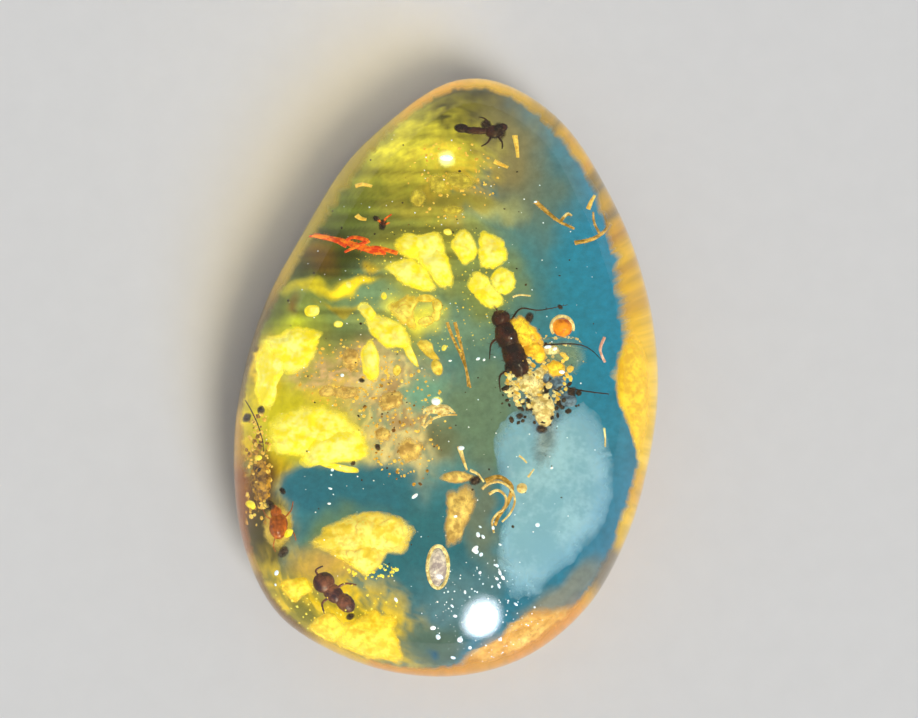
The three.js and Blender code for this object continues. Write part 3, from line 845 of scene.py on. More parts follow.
@dataclass(frozen=True)
class BlueDepth:
    """The blue glow of the amber's depth, a thin bowl just inside its back and edge."""

    teal: Colour = (0.18, 0.51, 0.60)
    floor: float = 0.35
    wall: float = 0.05
    edge: float = 0.975
    inset: float = 0.03
    depth: float = 7.0
    seen_rings: int = 104
    wall_rings: int = 8
    sides: int = 280
    glow: float = 0.62
    lit: float = 0.45
    streaks: float = 0.9
    # The bright yellow zones round the flakes add a painted glow spilling from them to the yellow haze
    # there.
    zones: tuple[Zone, ...] = (
        Zone((350, 215), (200, 92), (0.40, 0.47, 0.13), math.radians(58), 0.3),
        Zone((425, 140), (76, 50), (0.58, 0.58, 0.18), 0.5),
        Zone((474, 106), (56, 28), (0.15, 0.16, 0.05), -0.4),
        Zone((480, 124), (34, 18), (0.19, 0.20, 0.09), -0.2, 0.7),
        Zone((536, 186), (40, 60), (0.34, 0.48, 0.46), 0.3, 0.6),
        Zone((512, 156), (34, 46), (0.52, 0.50, 0.33), 0.3, 0.6),
        Zone((494, 208), (24, 10), (0.60, 0.64, 0.44), 0.0, 0.6),
        Zone((572, 592), (36, 14), (0.50, 0.54, 0.48), 0.7, 0.6),
        Zone((420, 290), (96, 70), (0.40, 0.54, 0.42)),
        Zone((290, 340), (60, 90), (0.46, 0.54, 0.26), 0.2, 0.35),
        Zone((286, 362), (46, 46), (0.80, 0.84, 0.10), 0.0, 0.5),
        Zone((318, 258), (64, 24), (0.24, 0.30, 0.04), 0.2),
        Zone((318, 264), (15, 11), (0.44, 0.34, 0.05), 0.0, 0.6),
        Zone((296, 305), (9, 11), (0.44, 0.36, 0.08), 0.0, 0.6),
        Zone((350, 378), (64, 38), (0.66, 0.62, 0.38), 0.0, 0.6),
        Zone((352, 380), (58, 32), (0.86, 0.74, 0.54), 0.1, 0.5, 1.6),
        Zone((330, 392), (40, 14), (0.90, 0.78, 0.34), 0.0, 0.5, 1.8),
        Zone((404, 420), (46, 60), (0.58, 0.66, 0.54), 0.2, 0.6),
        Zone((396, 420), (44, 60), (0.92, 0.86, 0.58), 0.2, 0.5, 1.6),
        Zone((412, 410), (40, 50), (0.70, 0.60, 0.42), 0.2, 0.5, 1.0),
        Zone((404, 450), (34, 24), (0.86, 0.82, 0.58), 0.0, 0.5, 1.6),
        Zone((430, 388), (20, 15), (0.44, 0.66, 0.60), 0.0, 0.6),
        Zone((446, 440), (15, 17), (0.42, 0.44, 0.32), 0.0, 0.6),
        Zone((400, 488), (30, 14), (0.50, 0.60, 0.58), 0.0, 0.6),
        Zone((458, 328), (28, 22), (0.44, 0.60, 0.52), 0.0, 0.6),
        Zone((408, 318), (26, 18), (0.92, 0.92, 0.32), 0.0, 0.6),
        Zone((486, 412), (40, 62), (0.41, 0.54, 0.45)),
        Zone((258, 440), (30, 100), (0.62, 0.54, 0.04), 0.1),
        Zone((258, 430), (26, 100), (0.96, 0.82, 0.06), 0.1, 0.5, 1.6),
        Zone((254, 496), (16, 56), (0.38, 0.26, 0.02), -0.1, 0.6),
        Zone((262, 556), (24, 50), (0.26, 0.24, 0.06)),
        Zone((286, 572), (20, 14), (0.16, 0.36, 0.34), 0.0, 0.6),
        Zone((262, 306), (22, 44), (0.34, 0.40, 0.08), -0.5),
        Zone((329, 286), (48, 6), (0.74, 0.70, 0.10), 0.04, 0.5),
        Zone((350, 284), (16, 5), (0.98, 0.90, 0.14), 0.0, 0.5),
        Zone((345, 303), (22, 4), (0.62, 0.58, 0.16), 0.0, 0.5),
        Zone((372, 270), (10, 6), (0.80, 0.70, 0.16), 0.2, 0.6),
        Zone((304, 430), (62, 38), (0.78, 0.76, 0.10), -0.3, 0.5),
        Zone((432, 240), (60, 30), (0.62, 0.64, 0.22), 0.0, 0.6),
        Zone((420, 264), (38, 34), (0.62, 0.64, 0.26), 0.0, 0.5),
        Zone((484, 272), (30, 42), (0.52, 0.60, 0.34), 0.0, 0.5),
        Zone((390, 332), (38, 16), (0.54, 0.60, 0.32), -0.6, 0.5),
        Zone((450, 178), (38, 34), (0.88, 0.74, 0.18), 0.3, 0.6, 1.6),
        Zone((430, 150), (60, 50), (0.80, 0.78, 0.22), 0.3, 0.6, 0.8),
        Zone((438, 205), (50, 8), (0.70, 0.68, 0.24), 0.0, 0.5),
        Zone((352, 491), (78, 27), (0.12, 0.44, 0.54), 0.0, 0.25),
        Zone((358, 542), (54, 28), (0.40, 0.52, 0.36), 0.0, 0.5),
        Zone((330, 564), (30, 16), (0.82, 0.68, 0.36), 0.0, 0.6),
        Zone((432, 560), (50, 66), (0.13, 0.43, 0.50), 0.0, 0.3),
        Zone((454, 602), (36, 26), (0.36, 0.54, 0.58), 0.0, 0.7),
        Zone((548, 600), (22, 11), (0.56, 0.58, 0.50), 0.5, 0.6),
        Zone((484, 520), (16, 60), (0.42, 0.50, 0.44), 0.1, 0.6),
        Zone((602, 392), (18, 9), (0.10, 0.24, 0.22), -0.3, 0.6),
        Zone((326, 622), (96, 44), (0.66, 0.60, 0.12), -0.4, 0.6),
        Zone((330, 620), (96, 46), (0.98, 0.84, 0.10), -0.4, 0.6, 1.6),
        Zone((300, 612), (22, 12), (0.52, 0.50, 0.12), -0.6, 0.5),
        Zone((434, 640), (30, 24), (0.34, 0.46, 0.40)),
        Zone((430, 648), (5, 8), (0.05, 0.38, 0.50), 0.0, 0.4),
        Zone((540, 650), (74, 24), (0.84, 0.62, 0.26), 0.5),
        Zone((600, 300), (46, 120), (0.10, 0.53, 0.66), 0.0, 0.35),
    )

    def level(self, x: np.ndarray, y: np.ndarray) -> np.ndarray:
        """Height of the bowl: flat over the back, rising along the edge."""
        share = STONE.share(x, y)
        start = STONE.foot_share - self.inset
        rise = np.clip((share - start) / (self.edge - start), 0, 1)
        return self.floor + (STONE.girdle - self.floor) * (1 - np.sqrt(1 - rise**2))

    def build(self) -> None:
        """Make the bowl, its corners marked with where they are seen from above."""
        angles = around(self.sides)
        rings, seen = [], []
        for ring in range(1, self.seen_rings + 1):
            share = self.edge * ring / self.seen_rings
            x, y = STONE.out(np.full(self.sides, share), angles)
            rings.append(STONE.reach(x, y, self.level))
            seen.append(np.stack([x, y, np.zeros(self.sides)], -1))
        last = rings[-1]
        start = STONE.share(last[:, 0], last[:, 1])
        for ring in range(1, self.wall_rings + 1):
            share = start + (self.edge - start) * ring / self.wall_rings
            x, y = STONE.out(share, angles)
            rings.append(np.stack([x, y, self.level(x, y)], -1))
            seen.append(seen[-1])
        inside = np.array(rings)
        corners, faces = thin_shell(inside, self.wall)
        marks = np.vstack([np.array(seen).reshape(-1, 3)] * 2 + [seen[0].mean(0)[None]] * 2)
        paint = Paint("blue_depth", self.teal, self.zones, self.depth, self.glow, self.lit,
                      streaks=self.streaks)
        under = np.zeros(len(corners))
        under[len(inside) * self.sides:-2] = 1.0
        under[-1] = 1.0
        piece = solid("blue_depth", corners, faces, paint.material(),
                      {"seen": marks, "tint": paint.tint(marks), "under": under})
        seat(piece, Slot.CLEAR)


SOFT = (1.02, 1.36)
YELLOW = Sealed("bright_flake", (1.0, 1.0, 0.52), (0.98, 0.90, 0.12), (0.80, 0.62, 0.08),
                patches=1.3, creases=0.75, fold_shade_weight=0.35, glow=0.72, lit=0.5, fade=SOFT,
                rimmed=0.6)
YELLOW_DEEP = Sealed("deep_flake", (1.0, 0.94, 0.42), (0.84, 0.72, 0.20), (0.62, 0.46, 0.14),
                     patches=1.8, creases=1.0, fold_shade_weight=0.4, fade=SOFT, rimmed=0.7)
GOLDEN = Sealed("golden_flake", (1.0, 0.90, 0.24), (0.92, 0.76, 0.06), (0.76, 0.58, 0.06),
                patches=1.5, creases=0.9, fold_shade_weight=0.3, fade=SOFT, rimmed=0.5)
CRESCENT = Sealed("rim_crescent", (1.0, 0.86, 0.16), (0.92, 0.72, 0.10), (0.80, 0.52, 0.14),
                  patches=2.4, creases=0.9, fold_shade_weight=0.4, glow=0.55, lit=0.5, fade=(1.0, 1.36))
FAN = Sealed("fan_flake", (1.0, 0.94, 0.46), (0.90, 0.78, 0.20), (0.68, 0.50, 0.16), patches=1.6,
             creases=0.9, fold_shade_weight=0.4, fade=SOFT, rimmed=0.4)
OLIVE = Sealed("soft_flake", (0.92, 0.86, 0.28), (0.66, 0.60, 0.18), (0.46, 0.38, 0.14), patches=2.6,
               creases=2.4, fade=(0.85, 1.36), rimmed=0.7, cover=0.9)
HONEY = Sealed("honey_lump", (0.94, 0.82, 0.42), (0.70, 0.56, 0.26), (0.44, 0.30, 0.10), patches=2.4,
               creases=1.8, fade=(0.9, 1.36), rimmed=0.6)
PEACH = Sealed("peach_stain", (0.98, 0.78, 0.38), (0.82, 0.60, 0.22), (0.56, 0.38, 0.14),
               patches=1.6, creases=1.6, cover=0.9, fade=(0.8, 1.32))
CREAM = Sealed("cream_crumb", (1.0, 0.95, 0.66), (0.72, 0.62, 0.32), (0.34, 0.26, 0.14), patches=3.4,
               creases=3.2, fold_shade_weight=0.7, fade=(0.95, 1.36))
GOLD = Sealed("golden_grit", (0.98, 0.86, 0.38), (0.86, 0.68, 0.22), (0.60, 0.42, 0.12),
              patches=3.0, creases=3.0)
CRUMBS = Sealed("brown_grit", (0.90, 0.68, 0.18), (0.42, 0.28, 0.08), (0.22, 0.15, 0.05),
                patches=3.2, creases=3.5, glow=0.35)


def remeshed(node: str, voxel: float, smoothing: int
             ) -> tuple[np.ndarray, np.ndarray, list[tuple[int, ...]]]:
    """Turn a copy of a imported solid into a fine, even, softened mesh.

    Args:
        node: the solid.
        voxel: the size of the mesh's cells in millimetres.
        smoothing: rounds of smoothing.

    Returns:
        Corners in millimetres, their normals, and faces of four corners.
    """
    work = bmesh.new()
    work.from_mesh(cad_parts[node].data)
    bmesh.ops.remove_doubles(work, verts=work.verts, dist=1e-6)
    bmesh.ops.scale(work, vec=(1 / MM, 1 / MM, 1 / MM), verts=work.verts)
    mesh = bpy.data.meshes.new("rough")
    work.to_mesh(mesh)
    work.free()
    holder = placed("rough", mesh)
    remesh = holder.modifiers.new("cells", "REMESH")
    remesh.mode = "VOXEL"
    remesh.voxel_size = voxel
    holder.modifiers.new("soften", "SMOOTH").iterations = smoothing
    fine = baked(holder)
    corners = np.array([v.co for v in fine.vertices], float)
    normals = np.array([v.normal for v in fine.vertices], float)
    faces = [tuple(p.vertices) for p in fine.polygons]
    bpy.data.meshes.remove(fine)
    return corners, normals, faces


@dataclass(frozen=True)
class Batch:
    """Things that are made one after another."""

    things: tuple = ()

    def build(self) -> None:
        """Make them all."""
        for thing in self.things:
            thing.build()


@dataclass(frozen=True)
class Flake:
    """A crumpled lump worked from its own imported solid: its pattern, cells, folds and grit."""

    name: str
    finish: Sealed
    slot: Slot
    seed: float
    voxel: float = 0.075
    fold: float = 0.16
    fold_wave: float = 0.75
    grit: float = 0.05
    grit_wave: float = 0.22
    smoothing: int = 6
    swell: float = 0.12

    def build(self) -> None:
        """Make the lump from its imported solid."""
        corners, normals, faces = remeshed(self.name, self.voxel, self.smoothing)
        low, high = corners.min(0), corners.max(0)
        folds = np.abs(ripple(corners, self.fold_wave, self.seed)) - 0.25
        grit = ripple(corners, self.grit_wave, self.seed + 1)
        shift = self.fold * folds + self.grit * grit
        corners = corners + normals * shift[:, None]
        corners = np.clip(corners, low - self.swell, high + self.swell)
        piece = solid(f"{self.name}_look", corners, faces, self.finish.material())
        seat(piece, self.slot, self.name)


def pixels(*points: tuple[float, float]) -> tuple[Place, ...]:
    """Seen places of some pixels of the picture."""
    return tuple(SIGHT.seen(*point) for point in points)


def closed_curve(points: np.ndarray, count: int) -> np.ndarray:
    """Even places on a smooth closed curve through some points.

    Args:
        points: the points in order.
        count: how many places.

    Returns:
        The places.
    """
    at = np.arange(count) * len(points) / count
    low = at.astype(int)
    t = (at - low)[:, None]
    p0, p1, p2, p3 = (points[(low + i) % len(points)] for i in (-1, 0, 1, 2))
    return 0.5 * (2 * p1 + (p2 - p0) * t + (2 * p0 - 5 * p1 + 4 * p2 - p3) * t**2
                  + (3 * p1 - p0 - 3 * p2 + p3) * t**3)


def oval(at: tuple[float, float], reach: tuple[float, float], turn: float = 0.0
         ) -> tuple[Place, ...]:
    """Seen places round an oval given in pixels of the picture.

    Args:
        at: its middle.
        reach: its half widths.
        turn: how far it is turned, anticlockwise.

    Returns:
        Twelve places.
    """
    places = []
    for i in range(12):
        dx = reach[0] * math.cos(math.tau * i / 12)
        dy = reach[1] * math.sin(math.tau * i / 12)
        places.append((at[0] + dx * math.cos(turn) - dy * math.sin(turn),
                       at[1] - dx * math.sin(turn) - dy * math.cos(turn)))
    return pixels(*places)


def wavering(outline: Sequence[Place], sides: int, ragged: float, seed: float
             ) -> tuple[np.ndarray, np.ndarray]:
    """The middle of a star-shaped outline and its border, made a little uneven.

    Args:
        outline: seen places round it, in any order.
        sides: how many places the border has.
        ragged: how uneven it is, as a share of its reach.
        seed: picks the unevenness.

    Returns:
        The middle, and the border's places measured from it, anticlockwise.
    """
    points = np.array(outline)
    middle = points.mean(0)
    order = np.argsort(np.arctan2(*(points - middle).T[::-1]))
    border = closed_curve(points[order], sides) - middle
    flat = np.hstack([border + middle, np.zeros((sides, 1))])
    uneven = ripple(flat, 0.5, seed) + 0.6 * ripple(flat, 0.18, seed + 2)
    return middle, border * (1 + ragged * uneven[:, None])


@dataclass(frozen=True)
class Lobe:
    """One rounded lobe of a flake: its seen outline, its height and its lift over the flow."""

    outline: tuple[Place, ...]
    thick: float = 0.45
    lift: float = 0.05


@dataclass(frozen=True)
class Pad:
    """A flattened flake or lump of one or more lobes."""

    name: str
    finish: Sealed
    slot: Slot
    lobes: tuple[Lobe, ...]
    ragged: float = 0.13
    uneven: float = 0.2
    packed: bool = True
    belly: float = 0.4
    sides: int = 100
    rings: int = 12

    def lobe(self, lobe: Lobe, seed: float) -> tuple[np.ndarray, list[tuple[int, ...]], np.ndarray]:
        """Make one lobe: a lens with an uneven upper side.

        Args:
            lobe: the lobe.
            seed: picks its own unevenness.

        Returns:
            Corners in millimetres, faces, and how near each corner is to the border.
        """
        middle, border = wavering(lobe.outline, self.sides, self.ragged, seed)
        turn = np.linspace(0, np.pi, 2 * self.rings + 1)[1:-1]
        shares = np.sin(turn)
        rise = -np.cos(turn) * lobe.thick
        rise[rise < 0] *= self.belly
        seen = (middle + shares[:, None, None] * border[None]).reshape(-1, 2)
        places = STONE.lay(seen, lobe.lift)
        lumps = ripple(places, 0.7, seed) + 0.7 * ripple(places, 0.28, seed + 1)
        tall = np.repeat(rise, self.sides)
        places[:, 2] += tall + self.uneven * lumps * np.abs(tall) / lobe.thick
        rings = places.reshape(len(turn), self.sides, 3)
        return with_poles(rings), loft(rings), np.append(np.repeat(shares, self.sides), [0.0, 0.0])

    def build(self) -> None:
        """Make the flake."""
        corners, faces, edges, count = [], [], [], 0
        for seed, lobe in enumerate(self.lobes, len(self.name)):
            more, sides, edge = self.lobe(lobe, float(seed))
            edges.append(edge)
            corners.append(more)
            faces += [tuple(count + i for i in face) for face in sides]
            count += len(more)
        name = f"{self.name}_look" if self.packed else self.name
        piece = solid(name, np.vstack(corners), faces, self.finish.material(),
                      {"edge": np.concatenate(edges)})
        seat(piece, self.slot, *((self.name,) if self.packed else ()))


@dataclass(frozen=True)
class Flakes(Batch):
    """The yellow flakes and the golden and brown debris."""

    things: tuple[Pad | Flake, ...] = (
        Pad("flake_left_upper", YELLOW, Slot.YELLOW, (
            Lobe(pixels((262, 345), (266, 337), (280, 333), (300, 326), (314, 329), (322, 334),
                        (318, 345), (316, 355), (306, 369), (294, 375), (284, 373), (270, 362)), 0.6),
            Lobe(pixels((258, 349), (268, 345), (282, 353), (284, 369), (278, 383), (275, 400),
                        (268, 410), (260, 408), (254, 390), (255, 365)), 0.45, 0.05))),
        Pad("flake_left_middle", YELLOW, Slot.YELLOW, (
            Lobe(pixels((266, 430), (272, 418), (284, 410), (302, 405), (324, 405), (340, 410),
                        (352, 420), (364, 430), (369, 442), (368, 454), (350, 460), (328, 460),
                        (304, 458), (286, 456), (270, 456), (267, 444)), 0.55),
            Lobe(pixels((298, 463), (303, 450), (310, 440), (322, 429), (345, 426), (362, 434),
                        (369, 446), (369, 456), (356, 461), (338, 463), (320, 466), (306, 468)), 0.6,
                 0.15),
            Lobe(pixels((316, 464), (330, 463), (348, 466), (358, 468), (357, 473), (342, 472)), 0.2)),
            0.08),
        Pad("flake_fan", FAN, Slot.YELLOW, (
            Lobe(pixels((308, 542), (324, 528), (342, 518), (364, 512), (384, 512), (402, 516),
                        (412, 524), (418, 532), (412, 542), (406, 552), (390, 556), (360, 556),
                        (330, 554), (314, 548)), 0.5),
            Lobe(pixels((330, 553), (346, 546), (370, 546), (388, 552), (384, 562), (376, 570),
                        (366, 577), (356, 571), (344, 562)), 0.45, 0.08)), 0.08),
        Pad("flake_lower_left", GOLDEN, Slot.YELLOW, (
            Lobe(pixels((278, 582), (290, 580), (300, 578), (308, 582), (312, 590), (304, 598),
                        (294, 602), (284, 594)), 0.35),), 0.2),
        Pad("flake_lower_lumps", GOLDEN, Slot.YELLOW, (
            Lobe(pixels((306, 626), (316, 618), (330, 614), (340, 620), (346, 632), (338, 642),
                        (326, 646), (316, 640)), 0.45),
            Lobe(pixels((332, 626), (356, 620), (372, 612), (388, 616), (396, 622), (399, 640),
                        (404, 660), (386, 663), (366, 660), (348, 654), (334, 644)), 0.5, 0.0)), 0.12),
        Pad("bright_bead", YELLOW, Slot.YELLOW, (Lobe(oval((312, 311), (8.5, 6.5)), 0.3),)),
        Pad("flake_crumpled", YELLOW, Slot.YELLOW, (
            Lobe(pixels((396, 240), (406, 232), (416, 234), (428, 232), (438, 232), (443, 242),
                        (447, 254), (440, 262), (424, 262), (408, 258), (396, 250)), 0.5),
            Lobe(pixels((414, 248), (430, 244), (444, 252), (451, 266), (454, 281), (447, 289),
                        (437, 286), (428, 272), (418, 262)), 0.6, 0.1),
            Lobe(pixels((385, 268), (394, 261), (410, 259), (422, 264), (430, 274), (437, 287),
                        (434, 293), (422, 291), (408, 287), (396, 279)), 0.5, 0.12)), 0.12),
        Pad("flake_four_lobed", YELLOW, Slot.YELLOW, (
            Lobe(pixels((455, 232), (466, 230), (475, 240), (477, 254), (472, 262), (462, 264),
                        (455, 254), (450, 243)), 0.4),
            Lobe(pixels((480, 231), (496, 234), (506, 244), (509, 256), (504, 264), (494, 269),
                        (484, 269), (478, 262), (478, 246)), 0.5, 0.05),
            Lobe(pixels((490, 278), (500, 268), (512, 272), (516, 280), (514, 290), (504, 295),
                        (494, 290)), 0.5),
            Lobe(pixels((468, 275), (478, 270), (488, 276), (495, 288), (504, 297), (502, 306),
                        (492, 309), (484, 306), (476, 297), (468, 288)), 0.45, 0.1)), 0.16),
        Pad("flake_ring", YELLOW_DEEP, Slot.YELLOW, (
            Lobe(pixels((390, 305), (396, 299), (408, 295), (419, 298), (415, 309), (414, 319),
                        (416, 327), (408, 328), (399, 322), (391, 314)), 0.4),
            Lobe(oval((426, 298), (9, 4)), 0.2), Lobe(oval((437, 305), (5, 8), 0.2), 0.25),
            Lobe(oval((436, 315), (5, 7), -0.3), 0.25), Lobe(oval((426, 321), (9, 5), 0.2), 0.25)),
            0.2),
        Pad("flake_diagonal", YELLOW, Slot.YELLOW, (
            Lobe(pixels((356, 305), (363, 302), (371, 306), (377, 314), (371, 322), (364, 318),
                        (358, 311)), 0.4, 0.1),
            Lobe(pixels((365, 321), (376, 313), (390, 319), (404, 326), (411, 337), (409, 346),
                        (400, 349), (388, 349), (376, 339), (368, 331)), 0.45),
            Lobe(pixels((402, 343), (410, 345), (418, 362), (417, 367), (407, 357)), 0.25))),
        Pad("flake_oval", YELLOW, Slot.YELLOW, (
            Lobe(pixels((360, 355), (364, 343), (370, 339), (376, 345), (379, 357), (380, 373),
                        (375, 380), (367, 377), (362, 371)), 0.4),)),
        Pad("flake_small", YELLOW_DEEP, Slot.YELLOW, (
            Lobe(pixels((416, 344), (424, 339), (432, 343), (434, 351), (440, 360), (433, 360),
                        (424, 354)), 0.3),
            Lobe(oval((437, 368), (6, 9), 0.3), 0.3), Lobe(oval((397, 370), (4.5, 6)), 0.25))),
        Pad("flake_top", OLIVE, Slot.GOLD, (
            Lobe(oval((460, 181), (17, 9), -0.2), 0.3), Lobe(oval((418, 198), (8, 10)), 0.25),
            Lobe(oval((452, 210), (12, 5)), 0.2), Lobe(oval((436, 184), (9, 12), 0.3), 0.25)), 0.2),
        Pad("rim_crescent_right", CRESCENT, Slot.GOLD, (
            Lobe(pixels((617, 402), (616, 380), (618, 356), (624, 338), (636, 332), (646, 346),
                        (650, 370), (652, 400), (650, 426), (645, 448), (640, 462), (635, 446),
                        (627, 424)), 0.3, 0.0),), 0.03, 0.06),
        Pad("rim_crescent_lower", PEACH, Slot.GOLD, (
            Lobe(pixels((500, 640), (520, 628), (546, 618), (562, 614), (554, 632), (530, 650),
                        (505, 658)), 0.25, -0.1),)),
        Pad("brown_lump", HONEY, Slot.GOLD, (
            Lobe(pixels((438, 478), (448, 472), (462, 471), (474, 476), (466, 483), (450, 484)), 0.3),
            Lobe(pixels((450, 488), (466, 484), (477, 496), (474, 512), (466, 528), (463, 540),
                        (450, 545), (443, 536), (446, 516), (446, 500)), 0.4, 0.05)), 0.16),
        Pad("crumbs_upper", HONEY, Slot.CRUMB, (
            Lobe(oval((345, 392), (13, 7)), 0.2), Lobe(oval((392, 400), (14, 11), 0.4), 0.25),
            Lobe(oval((327, 392), (9, 6)), 0.2), Lobe(oval((350, 360), (9, 12)), 0.2)), 0.3),
        Pad("crumbs_lower", HONEY, Slot.CRUMB, (
            Lobe(oval((410, 452), (13, 14)), 0.25), Lobe(oval((384, 434), (10, 7)), 0.2)), 0.3),
        Flake("rim_debris_left", CRUMBS, Slot.CRUMB, 16.0, grit=0.1, fold=0.2),
    )


@dataclass(frozen=True)
class Patch:
    """An oval patch of the old flow, in pixels of the picture, that grains are strewn over."""

    at: tuple[float, float]
    reach: tuple[float, float]
    turn: float = 0.0
    lift: float = 0.0
    sides: int = 28
    rings: int = 5

    def mesh(self) -> bpy.types.Mesh:
        """Make the patch.

        Returns:
            A mesh in metres, open, for strewing only.
        """
        sides = self.sides
        cos, sin = math.cos(self.turn), math.sin(self.turn)
        corners, faces = [], []
        for ring in range(1, self.rings + 1):
            for side in range(sides):
                angle = 2 * math.pi * side / sides
                dx = self.reach[0] * ring / self.rings * math.cos(angle)
                dy = self.reach[1] * ring / self.rings * math.sin(angle)
                corners.append(SIGHT.seen(self.at[0] + dx * cos + dy * sin,
                                          self.at[1] + dy * cos - dx * sin))
        corners.append(SIGHT.seen(*self.at))
        for side in range(sides):
            after = (side + 1) % sides
            faces.append((len(corners) - 1, side, after))
            for ring in range(self.rings - 1):
                low = ring * sides
                faces.append((low + side, low + sides + side, low + sides + after, low + after))
        places = STONE.lay(np.array(corners), self.lift)
        mesh = bpy.data.meshes.new("patch")
        mesh.from_pydata((places * MM).tolist(), [], faces)
        return mesh


def grain_shape(tree: Tree, grain: Grain, points: bpy.types.Node, size: bpy.types.NodeSocket
                ) -> dict[str, bpy.types.NodeSocket]:
    """One grain's mesh, and how each grain is turned and sized.

    Args:
        tree: the geometry tree.
        grain: what is strewn.
        points: the node that spreads the places.
        size: each grain's size.

    Returns:
        Inputs, by name, for the node that puts the grains on the points.
    """
    if grain is Grain.HAIR:
        form = tree.add("GeometryNodeMeshCone", {"Vertices": 5, "Radius Top": 0.0,
                        "Radius Bottom": 0.06, "Depth": 1.0})
        return {"Instance": form.outputs["Mesh"], "Rotation": points.outputs["Rotation"],
                "Scale": size}
    facets = 2 if grain is Grain.BUBBLE else 1
    form = tree.add("GeometryNodeMeshIcoSphere", {"Radius": 1.0, "Subdivisions": facets})
    spin = tree.add("FunctionNodeRandomValue", {0: (0, 0, 0), 1: (math.tau,) * 3, 8: 17},
                    data_type="FLOAT_VECTOR")
    if grain is Grain.CRUMB:
        uneven = tree.add("FunctionNodeRandomValue", {0: (0.55,) * 3, 1: (1.45,) * 3, 8: 23},
                          data_type="FLOAT_VECTOR")
        size = tree.add("ShaderNodeVectorMath", {0: uneven.outputs[0], 3: size},
                        operation="SCALE").outputs[0]
    return {"Instance": form.outputs["Mesh"], "Rotation": spin.outputs[0], "Scale": size}


def strewing_tree(grain: Grain) -> bpy.types.NodeTree:
    """Geometry nodes that strew grains, bubbles or hairs over a surface.

    Args:
        grain: what is strewn.

    Returns:
        The node tree, with named inputs for number, size, spread and seed.
    """
    tree, take, give = new_group(
        f"strew_{grain.value}", "GeometryNodeTree",
        {"Host": "Geometry", "Density": "Float", "Least": "Float", "Most": "Float",
         "Spread": "Float", "Seed": "Int", "Finish": "Material"}, {"Grains": "Geometry"})
    points = tree.add("GeometryNodeDistributePointsOnFaces", {
        "Mesh": take.outputs["Host"], "Density": take.outputs["Density"],
        "Seed": take.outputs["Seed"]})
    down = tree.math("MULTIPLY", take.outputs["Spread"], -1.0)
    rise = tree.add("FunctionNodeRandomValue", {2: down, 3: take.outputs["Spread"], 8: 5},
                    data_type="FLOAT")
    shift = tree.add("ShaderNodeCombineXYZ", {"Z": rise.outputs[1]})
    moved = tree.add("GeometryNodeSetPosition", {"Geometry": points.outputs["Points"],
                     "Offset": shift.outputs[0]})
    size = tree.add("FunctionNodeRandomValue", {2: take.outputs["Least"], 3: take.outputs["Most"],
                    8: 11}, data_type="FLOAT")
    shape = grain_shape(tree, grain, points, size.outputs[1])
    strewn = tree.add("GeometryNodeInstanceOnPoints", {"Points": moved.outputs[0], **shape})
    real = tree.add("GeometryNodeRealizeInstances", {"Geometry": strewn.outputs[0]})
    smooth = tree.add("GeometryNodeSetShadeSmooth", {"Geometry": real.outputs[0],
                      "Shade Smooth": grain is not Grain.CRUMB})
    dressed = tree.add("GeometryNodeSetMaterial", {"Geometry": smooth.outputs[0],
                       "Material": take.outputs["Finish"]})
    tree.tree.links.new(dressed.outputs[0], give.inputs["Grains"])
    return tree.tree


def limb_tree() -> bpy.types.NodeTree:
    """Geometry nodes that turn chains of edges into smooth round limbs of their marked girth.

    Returns:
        The node tree, with named inputs for the steps along a limb and the sides round it.
    """
    tree, take, give = new_group(
        "limbs", "GeometryNodeTree",
        {"Chains": "Geometry", "Step": "Float", "Sides": "Int", "Finish": "Material"},
        {"Limbs": "Geometry"})
    curve = tree.add("GeometryNodeMeshToCurve", {"Mesh": take.outputs["Chains"]})
    smooth = tree.add("GeometryNodeCurveSplineType", {"Curve": curve.outputs[0]},
                      spline_type="CATMULL_ROM")
    even = tree.add("GeometryNodeResampleCurve", {"Curve": smooth.outputs[0],
                    "Length": take.outputs["Step"]}, mode="LENGTH")
    girth = tree.add("GeometryNodeInputNamedAttribute", {"Name": "girth"}, data_type="FLOAT")
    ring = tree.add("GeometryNodeCurvePrimitiveCircle", {"Resolution": take.outputs["Sides"],
                    "Radius": 1.0})
    tube = tree.add("GeometryNodeCurveToMesh", {"Curve": even.outputs[0],
                    "Profile Curve": ring.outputs["Curve"], "Scale": girth.outputs[0],
                    "Fill Caps": True})
    shaded = tree.add("GeometryNodeSetShadeSmooth", {"Geometry": tube.outputs[0]})
    real = tree.add("GeometryNodeRealizeInstances", {"Geometry": shaded.outputs[0]})
    dressed = tree.add("GeometryNodeSetMaterial", {"Geometry": real.outputs[0],
                       "Material": take.outputs["Finish"]})
    tree.tree.links.new(dressed.outputs[0], give.inputs["Limbs"])
    return tree.tree


STREWING = {grain: strewing_tree(grain) for grain in Grain}
LIMBS = limb_tree()


def grown(name: str, host: bpy.types.Mesh, group: bpy.types.NodeTree, **inputs: object
          ) -> bpy.types.Object:
    """Run a geometry tree on a host and keep what it makes as a plain mesh.

    Args:
        name: the new object's name.
        host: what the tree works on.
        group: the tree.
        inputs: values of its named inputs.

    Returns:
        The new object, with no modifier.
    """
    holder = placed(f"{name}_host", host)
    modifier = holder.modifiers.new("grow", "NODES")
    modifier.node_group = group
    sockets = {s.name: s.identifier for s in group.interface.items_tree if s.in_out == "INPUT"}
    for key, value in inputs.items():
        modifier[sockets[key]] = value
    mesh = baked(holder)
    mesh.name = name
    return placed(name, mesh)


